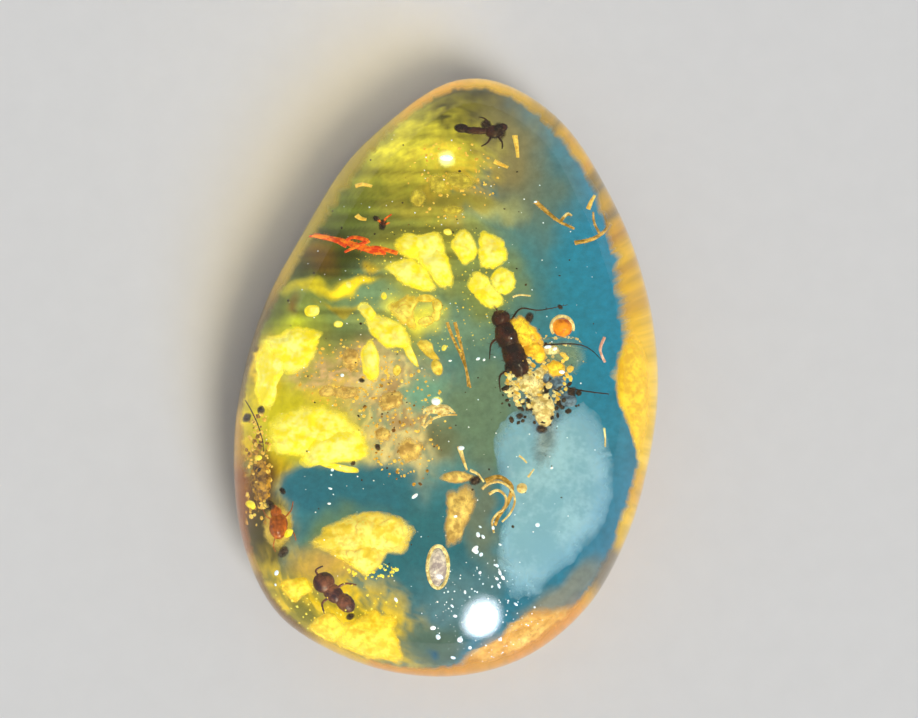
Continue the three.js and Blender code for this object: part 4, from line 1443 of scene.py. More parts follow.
@dataclass(frozen=True)
class Strewing:
    """Grains strewn over a patch of the flow."""

    name: str
    grain: Grain
    finish: Sealed
    slot: Slot
    patch: Patch
    number: int
    sizes: tuple[float, float]
    spread: float = 0.25
    seed: int = 1

    def build(self) -> None:
        """Strew the grains."""
        host = self.patch.mesh()
        area = sum(face.area for face in host.polygons)
        made = grown(self.name, host, STREWING[self.grain], Density=self.number / area,
                     Least=self.sizes[0] * MM, Most=self.sizes[1] * MM, Spread=self.spread * MM,
                     Seed=self.seed, Finish=self.finish.material())
        seat(made, self.slot)


@dataclass(frozen=True)
class Limb:
    """A leg, feeler, fibre or vein along seen places (x, y, lift), and its girth at either end."""

    places: tuple[Place, ...]
    start: float
    end: float


@dataclass(frozen=True)
class Part:
    """A round body part at a seen place: half widths along x, y and z, turned in plan."""

    at: Place
    size: Place
    turn: float = 0.0
    grooves: int = 0
    groove: float = 0.07
    taper: float = 0.0


def limb_mesh(name: str, limbs: Sequence[Limb], finish: bpy.types.Material, sides: int = 8,
              step: float = 0.08) -> bpy.types.Object:
    """Grow limbs on one mesh.

    Args:
        name: the new object's name.
        limbs: the limbs.
        finish: their material.
        sides: faces round a limb.
        step: millimetres along a limb from ring to ring.

    Returns:
        The new object.
    """
    corners, edges, girth = [], [], []
    for limb in limbs:
        last = len(limb.places) - 1
        for i, (x, y, *lift) in enumerate(limb.places):
            corners.append(STONE.spot(x, y, *lift) * MM)
            girth.append((limb.start + (limb.end - limb.start) * i / last) * MM)
            if i:
                edges.append((len(corners) - 2, len(corners) - 1))
    chains = bpy.data.meshes.new("chains")
    chains.from_pydata([tuple(c) for c in corners], edges, [])
    layer = chains.attributes.new("girth", "FLOAT", "POINT")
    layer.data.foreach_set("value", girth)
    return grown(name, chains, LIMBS, Step=step * MM, Sides=sides, Finish=finish)


def part_mesh(part: Part, sides: int = 24, count: int = 28
              ) -> tuple[np.ndarray, list[tuple[int, ...]]]:
    """A body part with its rings of segments.

    Args:
        part: the part.
        sides: faces round it.
        count: faces along it.

    Returns:
        Corners in millimetres and faces.
    """
    turn = around(sides)
    rings = []
    for ring in range(1, count):
        along = -math.cos(math.pi * ring / count)
        girth = math.sqrt(1 - along**2) * (1 + part.taper * along)
        if part.grooves:
            wave = abs(math.sin(math.pi * part.grooves * (along + 1) / 2))
            girth *= 1 - part.groove * (1 - wave) ** 3
        rings.append(np.stack([part.size[0] * girth * np.sin(turn),
                               np.full(sides, part.size[1] * along),
                               part.size[2] * girth * np.cos(turn)], -1))
    rings = np.array(rings)
    corners = with_poles(rings)
    corners[-2, 1] = -part.size[1]
    corners[-1, 1] = part.size[1]
    cos, sin = math.cos(part.turn), math.sin(part.turn)
    x = corners[:, 0] * cos - corners[:, 1] * sin
    y = corners[:, 0] * sin + corners[:, 1] * cos
    return np.stack([x, y, corners[:, 2]], -1) + STONE.spot(*part.at), loft(rings)


def joined(pieces: Sequence[bpy.types.Object], name: str) -> bpy.types.Object:
    """Put several objects of one finish in one, and remove the separate ones.

    Args:
        pieces: the objects.
        name: the new object's name.

    Returns:
        The new object.
    """
    mesh = merged(name, [piece.data for piece in pieces])
    mesh.materials.append(pieces[0].data.materials[0])
    for piece in pieces:
        bpy.data.objects.remove(piece)
    return placed(name, mesh)


@dataclass(frozen=True)
class Creature:
    """An insect or a like thing made of round parts and limbs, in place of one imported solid."""

    node: str
    finish: Sealed
    slot: Slot
    parts: tuple[Part, ...] = ()
    limbs: tuple[Limb, ...] = ()
    hairs: int = 0
    hair: float = 0.14

    def build(self) -> None:
        """Make the body, its limbs and its hairs as one piece."""
        material = self.finish.material()
        pieces = []
        for part in self.parts:
            pieces.append(solid("part", *part_mesh(part), material))
        if self.limbs:
            pieces.append(limb_mesh("limbs", self.limbs, material))
        if self.hairs:
            host = merged("skin", [piece.data for piece in pieces])
            area = sum(face.area for face in host.polygons)
            pieces.append(grown("hairs", host, STREWING[Grain.HAIR], Density=self.hairs / area,
                                Least=0.4 * self.hair * MM, Most=self.hair * MM, Spread=0.0,
                                Seed=7, Finish=material))
        seat(joined(pieces, f"{self.node}_look"), self.slot, self.node)


AMBER = Sealed("amber_crumb", (1.0, 0.90, 0.22), (0.90, 0.66, 0.08), (0.60, 0.38, 0.06), patches=2.6,
               creases=2.6, fold_shade_weight=0.6, fade=SOFT, rimmed=0.5)
HUSK = Sealed("dark_husk", (0.29, 0.13, 0.08), (0.10, 0.06, 0.07), (0.05, 0.03, 0.03),
              roughness=0.4, glow=0.25, coat=0.2, patches=1.3, bump=0.02)
SHELL = Sealed("beetle_shell", (0.80, 0.42, 0.08), (0.50, 0.22, 0.03), (0.16, 0.07, 0.03),
               roughness=0.3, glow=0.5, coat=0.4, patches=1.6, bump=0.015)
SHARD = Sealed("ant_shell", (0.55, 0.34, 0.24), (0.22, 0.13, 0.17), (0.10, 0.06, 0.08),
               roughness=0.35, glow=0.4, coat=0.3, patches=1.8, bump=0.02)
VEIN = Sealed("wing_vein", (0.62, 0.70, 0.58), (0.40, 0.52, 0.50), (0.30, 0.40, 0.36), glow=0.4)
HALO = Sealed("pale_halo", (0.92, 0.80, 0.34), (0.70, 0.60, 0.18), (0.44, 0.36, 0.12), patches=2.4,
              creases=2.0, cover=0.95, fade=(0.9, 1.3))
# painted glow: bright halos round the glints at the top and on the cap
GLINT_GLOW = Sealed("painted_glint_glow", (1.0, 1.0, 0.70), (1.0, 1.0, 0.50), (1.0, 0.96, 0.40), glow=1.1,
               fade=(0.35, 1.1))
ROOT = Sealed("red_fibre", (1.0, 0.55, 0.06), (0.82, 0.24, 0.02), (0.46, 0.12, 0.02),
              patches=3.0, creases=5.0)
TWIG = Sealed("golden_fibre", (0.85, 0.68, 0.30), (0.55, 0.42, 0.10), (0.25, 0.18, 0.06),
              patches=3.0, creases=5.0)
PALE = Sealed("pale_husk", (0.97, 0.92, 0.62), (0.80, 0.70, 0.42), (0.50, 0.38, 0.22),
              patches=3.0, creases=2.6)
ROSE = Sealed("rose_sliver", (0.95, 0.78, 0.68), (0.80, 0.58, 0.48), (0.60, 0.40, 0.32),
              patches=3.0)
BEAD = Sealed("orange_bead", (0.98, 0.62, 0.08), (0.72, 0.30, 0.02), (0.60, 0.22, 0.02),
              patches=1.0, fold_shade_weight=0.2, roughness=0.15, coat=0.6, bump=0.01)
SLATE = Sealed("slate_grain", (0.42, 0.54, 0.60), (0.20, 0.26, 0.30), (0.09, 0.11, 0.13),
               fade=(0.85, 1.3))
DARK_SPOT = Sealed("dark_spot", (0.26, 0.18, 0.10), (0.10, 0.07, 0.05), (0.04, 0.03, 0.03),
                   glow=0.3, fade=(0.75, 1.3), cover=0.9)
YELLOW_GRIT = Sealed("yellow_grit", (1.0, 1.0, 0.44), (0.96, 0.84, 0.18), (0.70, 0.54, 0.12))
SILVER = Sealed("silver_husk", (0.92, 0.88, 0.80), (0.62, 0.57, 0.56), (0.40, 0.34, 0.34), patches=2.4,
                roughness=0.3, coat=0.3)
HONEY_THREAD = Sealed("honey_thread", (0.96, 0.88, 0.56), (0.76, 0.62, 0.32), (0.36, 0.24, 0.10),
                      roughness=0.3, coat=0.4, patches=3.0)
# painted glints: bubbles as white glowing beads that stand for their catch of the light
GLINT = Sealed("painted_glint_bubble", (1.0, 1.0, 1.0), (0.85, 0.95, 1.0), (0.80, 0.90, 1.0),
               roughness=0.08, glow=0.8, coat=1.0, bump=0.0)
SPECK = Sealed("dark_speck", (0.30, 0.24, 0.14), (0.12, 0.09, 0.06), (0.05, 0.04, 0.03), glow=0.1)


@dataclass(frozen=True)
class Insects(Batch):
    """The large insect with what is caught against it, the beetle, the ant and the midge."""

    things: tuple[Creature | Pad | Flake, ...] = (
        Creature("large_insect", HUSK, Slot.HUSK, parts=(
            Part((2.33, 2.35), (0.36, 0.36, 0.32), 0.2), Part((2.12, 2.56, 0.12), (0.1, 0.12, 0.1)),
            Part((2.6, 2.5, 0.14), (0.09, 0.11, 0.1)),
            Part((2.6, 1.6), (0.46, 0.6, 0.40), 0.3, grooves=3),
            Part((2.98, 0.6), (0.44, 0.86, 0.38), 0.35, grooves=7, taper=0.15)), limbs=(
            Limb(((2.6, 1.9), (3.15, 2.75, -0.1), (4.0, 2.7, 0.1), (5.2, 2.95, 0.1)), 0.05, 0.012),
            Limb(((2.7, 1.5), (3.6, 1.2, -0.48), (5.7, 1.2, -0.4), (6.6, 0.55, -0.2)), 0.05, 0.012),
            Limb(((3.0, 0.6), (4.0, -0.2, -0.48), (5.5, -0.7, -0.45), (6.9, -0.9, -0.2)), 0.05, 0.02),
            Limb(((2.5, 1.6), (1.95, 1.3, 0.1), (1.85, 0.6)), 0.06, 0.02),
            Limb(((2.9, 0.2), (2.3, -0.1, 0.1), (2.3, -0.8)), 0.06, 0.02),
            Limb(((2.3, 2.5), (2.0, 2.95, 0.15), (1.7, 3.0, 0.2)), 0.04, 0.02)), hairs=700,
            hair=0.18),
        Creature("pupa", PALE, Slot.PALE, parts=(
            Part((4.2, -1.62), (0.36, 0.66, 0.34), -0.1, grooves=8, groove=0.14),)),
        Creature("small_beetle", SHELL, Slot.BEETLE, parts=(
            Part((-7.1, -6.5), (0.37, 0.52, 0.3), -0.1, grooves=2, groove=0.05),
            Part((-7.2, -5.95), (0.22, 0.24, 0.2)), Part((-7.28, -5.72), (0.12, 0.1, 0.1))), limbs=(
            Limb(((-7.1, -6.4), (-6.6, -5.9, 0.05), (-6.5, -5.5)), 0.035, 0.015),
            Limb(((-7.1, -6.6), (-6.5, -6.75, 0.05), (-6.35, -7.1)), 0.035, 0.015),
            Limb(((-7.1, -6.4), (-7.6, -6.1, 0.05), (-7.8, -5.7)), 0.035, 0.015),
            Limb(((-7.1, -6.6), (-7.3, -7.3, 0.05), (-7.2, -7.6)), 0.035, 0.015)), hairs=60, hair=0.1),
        Creature("ant", SHARD, Slot.HUSK, parts=(
            Part((-5.15, -8.9), (0.42, 0.38, 0.3), 0.8), Part((-4.9, -9.15), (0.2, 0.2, 0.16)),
            Part((-4.75, -9.35), (0.34, 0.46, 0.24), 0.8, grooves=2),
            Part((-4.25, -9.75), (0.32, 0.44, 0.3), 0.8, grooves=5)), limbs=(
            Limb(((-4.8, -9.3), (-4.3, -8.95, 0.05), (-3.8, -9.0)), 0.06, 0.03),
            Limb(((-4.7, -9.4), (-5.2, -9.75, 0.05), (-5.1, -10.2)), 0.06, 0.03),
            Limb(((-5.2, -8.8), (-5.5, -8.4, 0.1), (-5.2, -8.2, 0.1)), 0.05, 0.03)), hairs=120,
            hair=0.1),
        Creature("midge", HUSK, Slot.HUSK, parts=(
            Part((2.05, 10.55), (0.32, 0.28, 0.28)), Part((2.45, 10.75), (0.17, 0.17, 0.17)),
            Part((1.3, 10.6), (0.16, 0.55, 0.18), math.pi / 2, grooves=6),
            Part((0.65, 10.7), (0.22, 0.2, 0.2))), limbs=(
            Limb(((2.0, 10.5), (1.8, 10.1, 0.05), (1.5, 9.9)), 0.05, 0.025),
            Limb(((2.1, 10.5), (2.4, 10.1, 0.05), (2.4, 9.8)), 0.05, 0.025),
            Limb(((1.9, 10.7), (1.7, 11.1, 0.05), (1.4, 11.2)), 0.05, 0.025)), hairs=200, hair=0.12),
        Pad("yellow_crumbs", AMBER, Slot.YELLOW, (
            Lobe(pixels((508, 320), (522, 316), (534, 325), (543, 340), (536, 350), (522, 344),
                        (513, 331)), 0.35),
            Lobe(pixels((528, 348), (538, 343), (545, 350), (546, 358), (542, 364), (534, 360)), 0.3),
            Lobe(pixels((546, 366), (554, 360), (566, 366), (564, 374), (552, 376)), 0.3),
            Lobe(oval((533, 350), (10, 8)), 0.25)), 0.2),
        Flake("orange_bead", BEAD, Slot.ORANGE, 32.0, fold=0.0, grit=0.0),
        Flake("dark_grain", SLATE, Slot.HUSK, 33.0, fold=0.1),
    )


@dataclass(frozen=True)
class Fibres(Batch):
    """Twigs, rootlets, shavings and slivers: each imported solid's own paths, with finer ends."""

    things: tuple[Creature, ...] = (
        Creature("curled_shaving", TWIG, Slot.TWIG, limbs=(
            Limb(((1.65, -4.6), (2.25, -4.45), (2.75, -4.85), (2.6, -5.5), (2.2, -6.1),
                  (2.05, -6.5)), 0.1, 0.06),)),
        Creature("leg_fragment", TWIG, Slot.TWIG, limbs=(
            Limb(((3.85, 7.45), (4.45, 6.9), (4.9, 6.55), (5.5, 6.25)), 0.09, 0.05),
            Limb(((4.9, 6.55), (5.15, 6.85), (5.4, 6.85)), 0.07, 0.04)), hairs=60, hair=0.12),
        Creature("rootlet_branch", TWIG, Slot.TWIG, limbs=(
            Limb(((5.5, 5.65), (6.1, 5.75), (6.6, 6.0), (6.95, 6.4), (7.0, 7.1)), 0.09, 0.05),
            Limb(((6.95, 6.4), (6.75, 7.0)), 0.08, 0.04),
            Limb(((6.6, 6.0), (6.35, 6.5), (6.3, 7.0)), 0.07, 0.04)), hairs=40, hair=0.12),
        Creature("red_rootlet", ROOT, Slot.ROOT, limbs=(
            Limb(((-5.75, 6.0), (-5.05, 5.85), (-4.4, 5.7), (-3.8, 5.5), (-3.1, 5.3), (-2.6, 5.3)),
                 0.1, 0.15),), hairs=140, hair=0.16),
        Creature("resin_blade", TWIG, Slot.TWIG, limbs=(
            Limb(((0.35, 2.2), (0.5, 1.6), (0.65, 1.0), (0.85, 0.0), (0.9, -0.6)), 0.07, 0.04),)),
        Creature("pale_sliver", ROSE, Slot.PALE, limbs=(
            Limb(((6.75, 1.55, 0.15), (6.55, 1.0, 0.15), (6.75, 0.45, 0.15)), 0.06, 0.05),)),
    )


@dataclass(frozen=True)
class Veil:
    """A thin sheet on or near the flow: a stain, a wing, a painted glow or a pale patch of painted
    reflection, star-shaped round its middle.
    """

    name: str
    finish: Sealed
    slot: Slot
    outline: tuple[Place, ...]
    lift: float = -0.4
    ragged: float = 0.08
    wall: float = 0.03
    buckle: float = 0.08
    wave: float = 0.9
    seed: float = 2.0
    rings: int = 16
    sides: int = 180
    nodes: tuple[str, ...] = ()

    def build(self) -> None:
        """Make the sheet."""
        middle, border = wavering(self.outline, self.sides, self.ragged, self.seed + self.lift)
        shares = np.arange(1, self.rings + 1) / self.rings
        seen = (middle + shares[:, None, None] * border[None]).reshape(-1, 2)
        places = STONE.lay(seen, self.lift)
        places[:, 2] += self.buckle * ripple(places, self.wave, 3 * self.seed)
        corners, faces = thin_shell(places.reshape(self.rings, self.sides, 3), self.wall)
        edge = np.repeat(shares, self.sides)
        marks = {"edge": np.concatenate([edge, edge, [0.0, 0.0]])}
        piece = solid(self.name, corners, faces, self.finish.material(), marks)
        seat(piece, self.slot, *self.nodes)


# painted reflection: a pale blue sheet inside the stone stands for a bright surround mirrored on the
# dome
SHEEN_PATCH = Sealed("painted_sheen_patch", (0.55, 0.73, 0.80), (0.44, 0.64, 0.73), (0.36, 0.57, 0.66),
               patches=0.45, creases=0.5, fold_shade_weight=0.15, roughness=0.9, depth=4.0, bump=0.01,
               fade=(1.0, 1.4))
SMOKE = Sealed("smoke_stain", (0.52, 0.58, 0.56), (0.34, 0.40, 0.38), (0.24, 0.26, 0.24),
               patches=2.2, creases=2.0, cover=0.5, fade=(0.4, 1.2))


@dataclass(frozen=True)
class Veils(Batch):
    """The pale blue patch on the right, a painted reflection, the stains among the flakes and the
    painted glows round two glints.
    """

    things: tuple[Veil, ...] = (
        # painted reflection patch on the right
        Veil("painted_sheen_patch", SHEEN_PATCH, Slot.CLEAR, pixels(
            (510, 414), (540, 408), (567, 404), (592, 410), (607, 436), (613, 462), (613, 486),
            (609, 508), (600, 530), (586, 546), (574, 561), (552, 578), (534, 596), (512, 596),
            (500, 574), (498, 540), (506, 512), (500, 480), (494, 450), (498, 428)), lift=-0.9,
            ragged=0.05),
        Veil("peach_stain_low", PEACH, Slot.GOLD, pixels(
            (508, 620), (538, 606), (562, 604), (588, 604), (575, 622), (553, 642), (520, 663),
            (480, 673), (452, 672), (462, 655), (485, 645), (500, 634)), -0.5, 0.08),
        Veil("smoke_trail", SMOKE, Slot.CRUMB, oval((546, 440), (18, 40), -0.2), -0.6),
        Veil("smoke_nest", SMOKE, Slot.CRUMB, oval((540, 400), (40, 40)), -0.6),
        Veil("beetle_halo", HALO, Slot.PALE, oval((278, 526), (17, 24)), -0.2),
        # painted glow round the glints at the top and on the cap
        Veil("painted_glow_top", GLINT_GLOW, Slot.YELLOW, oval((446, 159), (14, 13)), 0.2),
        Veil("painted_glow_cap", GLINT_GLOW, Slot.YELLOW, oval((437, 401), (9, 6)), 0.1),
    )


@dataclass(frozen=True)
class RimGlowBand:
    """The thin band all round under the rim: yellow, golden and orange, glowing as a painted stand-in
    for the bright rim.
    """

    sides: int = 360
    steps: int = 6
    wall: float = 0.04
    edge: float = 0.992
    seen_edge: float = 0.99
    inner_lift: float = 0.1
    outer_lift: float = 0.15
    noise_radius: float = 9.0
    border: tuple[tuple[float, float], ...] = (
        (616, 398), (616, 372), (618, 350), (620, 325), (618, 298), (613, 270), (608, 245),
        (596, 212), (588, 189), (570, 159), (549, 134), (530, 114), (508, 98), (484, 90),
        (458, 90), (432, 100), (406, 120), (380, 147), (352, 186), (326, 224), (300, 264),
        (276, 306), (259, 346), (247, 385), (243, 420), (246, 455), (250, 490), (250, 530),
        (258, 565), (272, 594), (292, 622), (322, 646), (360, 662), (400, 667), (450, 666),
        (500, 654), (540, 634), (573, 606), (596, 574), (610, 545), (619, 512), (632, 482),
        (637, 462), (634, 442), (623, 418))
    yellow: Colour = (0.84, 0.68, 0.08)
    zones: tuple[Zone, ...] = (
        Zone((340, 180), (120, 26), (0.62, 0.56, 0.02), math.radians(57)),
        Zone((430, 90), (46, 14), (0.82, 0.62, 0.0), 0.3),
        Zone((575, 160), (70, 26), (0.50, 0.42, 0.12), -1.0),
        Zone((576, 148), (26, 7), (0.82, 0.60, 0.0), -0.9, 0.3),
        Zone((603, 196), (26, 16), (0.46, 0.42, 0.30), -1.1),
        Zone((616, 232), (12, 18), (0.84, 0.64, 0.12)),
        Zone((613, 274), (8, 32), (0.72, 0.54, 0.42), 0.2, 0.3),
        Zone((641, 300), (12, 46), (0.88, 0.70, 0.0), 0.2),
        Zone((632, 326), (12, 12), (0.66, 0.54, 0.40)),
        Zone((640, 405), (28, 70), (0.90, 0.74, 0.0), 0.0, 0.3),
        Zone((634, 400), (26, 110), (1.0, 0.84, 0.24), 0.0, 0.5, 1.8),
        Zone((622, 280), (14, 70), (0.62, 0.42, 0.20), 0.15, 0.5, 1.6),
        Zone((580, 160), (60, 20), (0.84, 0.66, 0.0), -1.0, 0.5, 1.6),
        Zone((628, 505), (10, 34), (0.84, 0.62, 0.0), -0.4),
        Zone((603, 570), (12, 30), (0.46, 0.42, 0.34), -0.5),
        Zone((545, 640), (66, 22), (0.84, 0.56, 0.14), 0.5),
        Zone((420, 672), (90, 10), (0.82, 0.56, 0.08)),
        Zone((272, 604), (56, 20), (0.48, 0.34, 0.0), -0.9),
        Zone((243, 500), (12, 64), (0.56, 0.32, 0.0)),
        Zone((252, 350), (14, 70), (0.36, 0.28, 0.0), -0.25),
    )

    def build(self) -> None:
        """Make the band."""
        angles = around(self.sides)
        away = np.array(pixels(*self.border)) - np.array(STONE.apex)
        turn = np.arctan2(away[:, 1], away[:, 0]) % (2 * np.pi)
        order = np.argsort(turn)
        reach = np.hypot(*away.T)[order]
        turn = turn[order]
        radius = np.interp(angles, np.r_[turn[-1] - 2 * np.pi, turn, turn[0] + 2 * np.pi],
                           np.r_[reach[-1], reach, reach[0]])
        rim = np.stack([self.noise_radius * np.cos(angles), self.noise_radius * np.sin(angles),
                        np.zeros(self.sides)], -1)
        width = STONE.rim_radius(angles) - radius
        width *= 1 + 0.25 * ripple(rim, 1.3, 8.0) + 0.15 * ripple(rim, 0.4, 9.0)
        share = 1 - width / STONE.rim_radius(angles)
        x, y = STONE.out(np.minimum(share, STONE.inner_limit), angles)
        inner = STONE.lay(np.stack([x, y], -1), self.inner_lift)
        x, y = STONE.out(np.full(self.sides, self.edge), angles)
        outer = np.stack([x, y, STONE.flow(x, y) + self.outer_lift], -1)
        across = np.linspace(0, 1, self.steps)
        top = inner[:, None] + (outer - inner)[:, None] * across[None, :, None]
        below = top[:, ::-1] - np.array([0, 0, self.wall])
        section = np.concatenate([top, below], 1)
        corners = section.reshape(-1, 3)
        loop = 2 * self.steps
        faces = []
        for side in range(self.sides):
            here, there = side * loop, (side + 1) % self.sides * loop
            for i in range(loop):
                j = (i + 1) % loop
                faces.append((here + i, here + j, there + j, there + i))
        seen = np.repeat(np.stack([*STONE.out(np.full(self.sides, self.seen_edge), angles),
                                   np.zeros(self.sides)], -1), loop, 0)
        edge = np.tile(np.concatenate([1 - across, (1 - across)[::-1]]), self.sides)
        # painted glow: the band's emission gives the bright rim
        paint = Paint("rim_glow_band", self.yellow, self.zones, depth=2.0, glow=0.55, lit=0.5, drift=0.5,
                      fade=True)
        piece = solid("rim_glow_band", corners, faces, paint.material(),
                      {"seen": seen, "tint": paint.tint(seen), "edge": edge})
        seat(piece, Slot.CLEAR)


@dataclass(frozen=True)
class Wing:
    """The large insect's fallen wing: a thin membrane with veins and a speckled margin."""

    at: tuple[float, float] = (4.75, 0.7)
    root: tuple[float, float] = (3.55, 1.25)
    radii: tuple[float, ...] = (1.3, 1.1, 0.8, 1.0, 1.1, 0.9, 0.9, 1.1)
    lift: float = -0.68
    veins: int = 9
    tips: int = 24
    specks: int = 90

    def margin(self, count: int) -> np.ndarray:
        """Seen places round the wing.

        Args:
            count: how many.

        Returns:
            The places.
        """
        corners = [(self.at[0] + r * math.cos(math.tau * i / len(self.radii)),
                    self.at[1] + r * math.sin(math.tau * i / len(self.radii)))
                   for i, r in enumerate(self.radii)]
        return closed_curve(np.array(corners), count)

    def build(self) -> None:
        """Make the membrane, its veins and its margin."""
        membrane = Sealed("wing_membrane", (0.62, 0.66, 0.44), (0.42, 0.52, 0.40), (0.30, 0.34, 0.24),
                          patches=2.5, creases=3.0, roughness=0.3, coat=0.4, fade=(0.75, 1.35),
                          cover=0.55)
        Veil("wing_look", membrane, Slot.PALE, tuple(map(tuple, self.margin(16))), self.lift,
             ragged=0.03, nodes=("insect_wing",)).build()
        border = self.margin(self.tips)
        low, high = self.lift + 0.04, self.lift + 0.06
        limbs = [Limb(tuple((x, y, low) for x, y in border[2:9]), 0.015, 0.01)]
        for vein in range(self.veins):
            tip = border[(vein * 2 + 15) % self.tips]
            bend = (np.array(self.root) + tip) / 2 + np.array([0.0, 0.12])
            limbs.append(Limb(((*self.root, low), (*bend, high), (*tip, low)), 0.018, 0.008))
        veins = limb_mesh("wing_veins", limbs, VEIN.material(), 6)
        host = veins.data.copy()
        area = sum(face.area for face in host.polygons)
        specks = grown("wing_specks", host, STREWING[Grain.CRUMB], Density=self.specks / area,
                       Least=0.02 * MM, Most=0.06 * MM, Spread=0.0, Seed=3, Finish=PALE.material())
        seat(veins, Slot.PALE)
        seat(specks, Slot.PALE)


@dataclass(frozen=True)
class Hoop:
    """A bent rod round an oval: the oval on the flow, its lift, its girth and its span in degrees."""

    name: str
    finish: Sealed
    at: tuple[float, float]
    reach: tuple[float, float]
    lift: float
    girth: float
    span: tuple[float, float]
    steps: int = 22

    def build(self) -> None:
        """Make the rod."""
        places = []
        for i in range(self.steps + 1):
            angle = math.radians(self.span[0] + (self.span[1] - self.span[0]) * i / self.steps)
            places.append((self.at[0] + self.reach[0] * math.cos(angle),
                           self.at[1] + self.reach[1] * math.sin(angle), self.lift))
        limbs = [Limb(tuple(places), self.girth, self.girth * 0.8)]
        seat(limb_mesh(self.name, limbs, self.finish.material()), Slot.PALE)


@dataclass(frozen=True)
class Husks(Batch):
    """The oval capsule in its yellow rim, the curved cap, and the pale ring of the bead."""

    things: tuple[Flake | Hoop, ...] = (
        Flake("oval_capsule", SILVER, Slot.PALE, 41.0, fold=0.1, grit=0.06),
        Flake("bubble_cap", PALE, Slot.PALE, 42.0, fold=0.12),
        Hoop("bead_ring", PALE, (4.93, 1.98), (0.46, 0.46), 0.1, 0.075, (-20, 220)),
        Hoop("capsule_rim", CREAM, (-0.35, -8.25), (0.44, 0.88), 0.28, 0.075, (0, 360)),
        Hoop("cap_lip", PALE, (-0.35, -1.75), (0.62, 0.32), 0.2, 0.06, (10, 180)),
    )


@dataclass(frozen=True)
class Beads:
    """Small round things of one finish: their pixels and their radii in pixels."""

    name: str
    finish: Sealed
    slot: Slot
    spots: tuple[tuple[float, float, float], ...]
    lift: float = 0.3
    uneven: float = 0.3

    def build(self) -> None:
        """Make them as one piece."""
        material = self.finish.material()
        made = []
        for turn, (px, py, reach) in enumerate(self.spots):
            radius = reach / SIGHT.scale
            long = 1 + self.uneven * math.sin(2.4 * turn)
            part = Part((*SIGHT.seen(px, py), self.lift), (radius / long, radius * long, radius),
                        1.9 * turn)
            made.append(solid("bead", *part_mesh(part, 16, 12), material))
        seat(joined(made, self.name), self.slot)


@dataclass(frozen=True)
class Threads:
    """Thin threads of one finish along paths in pixels of the picture."""

    name: str
    finish: Sealed
    slot: Slot
    paths: tuple[tuple[Place, ...], ...]
    girth: tuple[float, float]
    lift: float = 0.1

    def build(self) -> None:
        """Make them as one piece."""
        limbs = [Limb(tuple((*place, self.lift) for place in pixels(*path)), *self.girth)
                 for path in self.paths]
        seat(limb_mesh(self.name, limbs, self.finish.material()), self.slot)


def spots(name: str, finish: Sealed, slot: Slot, places: Sequence[Place]) -> Pad:
    """Small soft blots of one finish.

    Args:
        name: the piece's name.
        finish: its finish.
        slot: the record's slot.
        places: their pixels and their radii in pixels.

    Returns:
        The blots as one flake of many lobes.
    """
    long, short, turn, lift = 1.15, 0.85, 1.3, 0.12
    lobes = tuple(Lobe(oval((px, py), (long * reach, short * reach), turn * i), lift + reach / 60, lift)
                  for i, (px, py, reach) in enumerate(places))
    return Pad(name, finish, slot, lobes, 0.28, 0.2, packed=False, sides=36, rings=5)


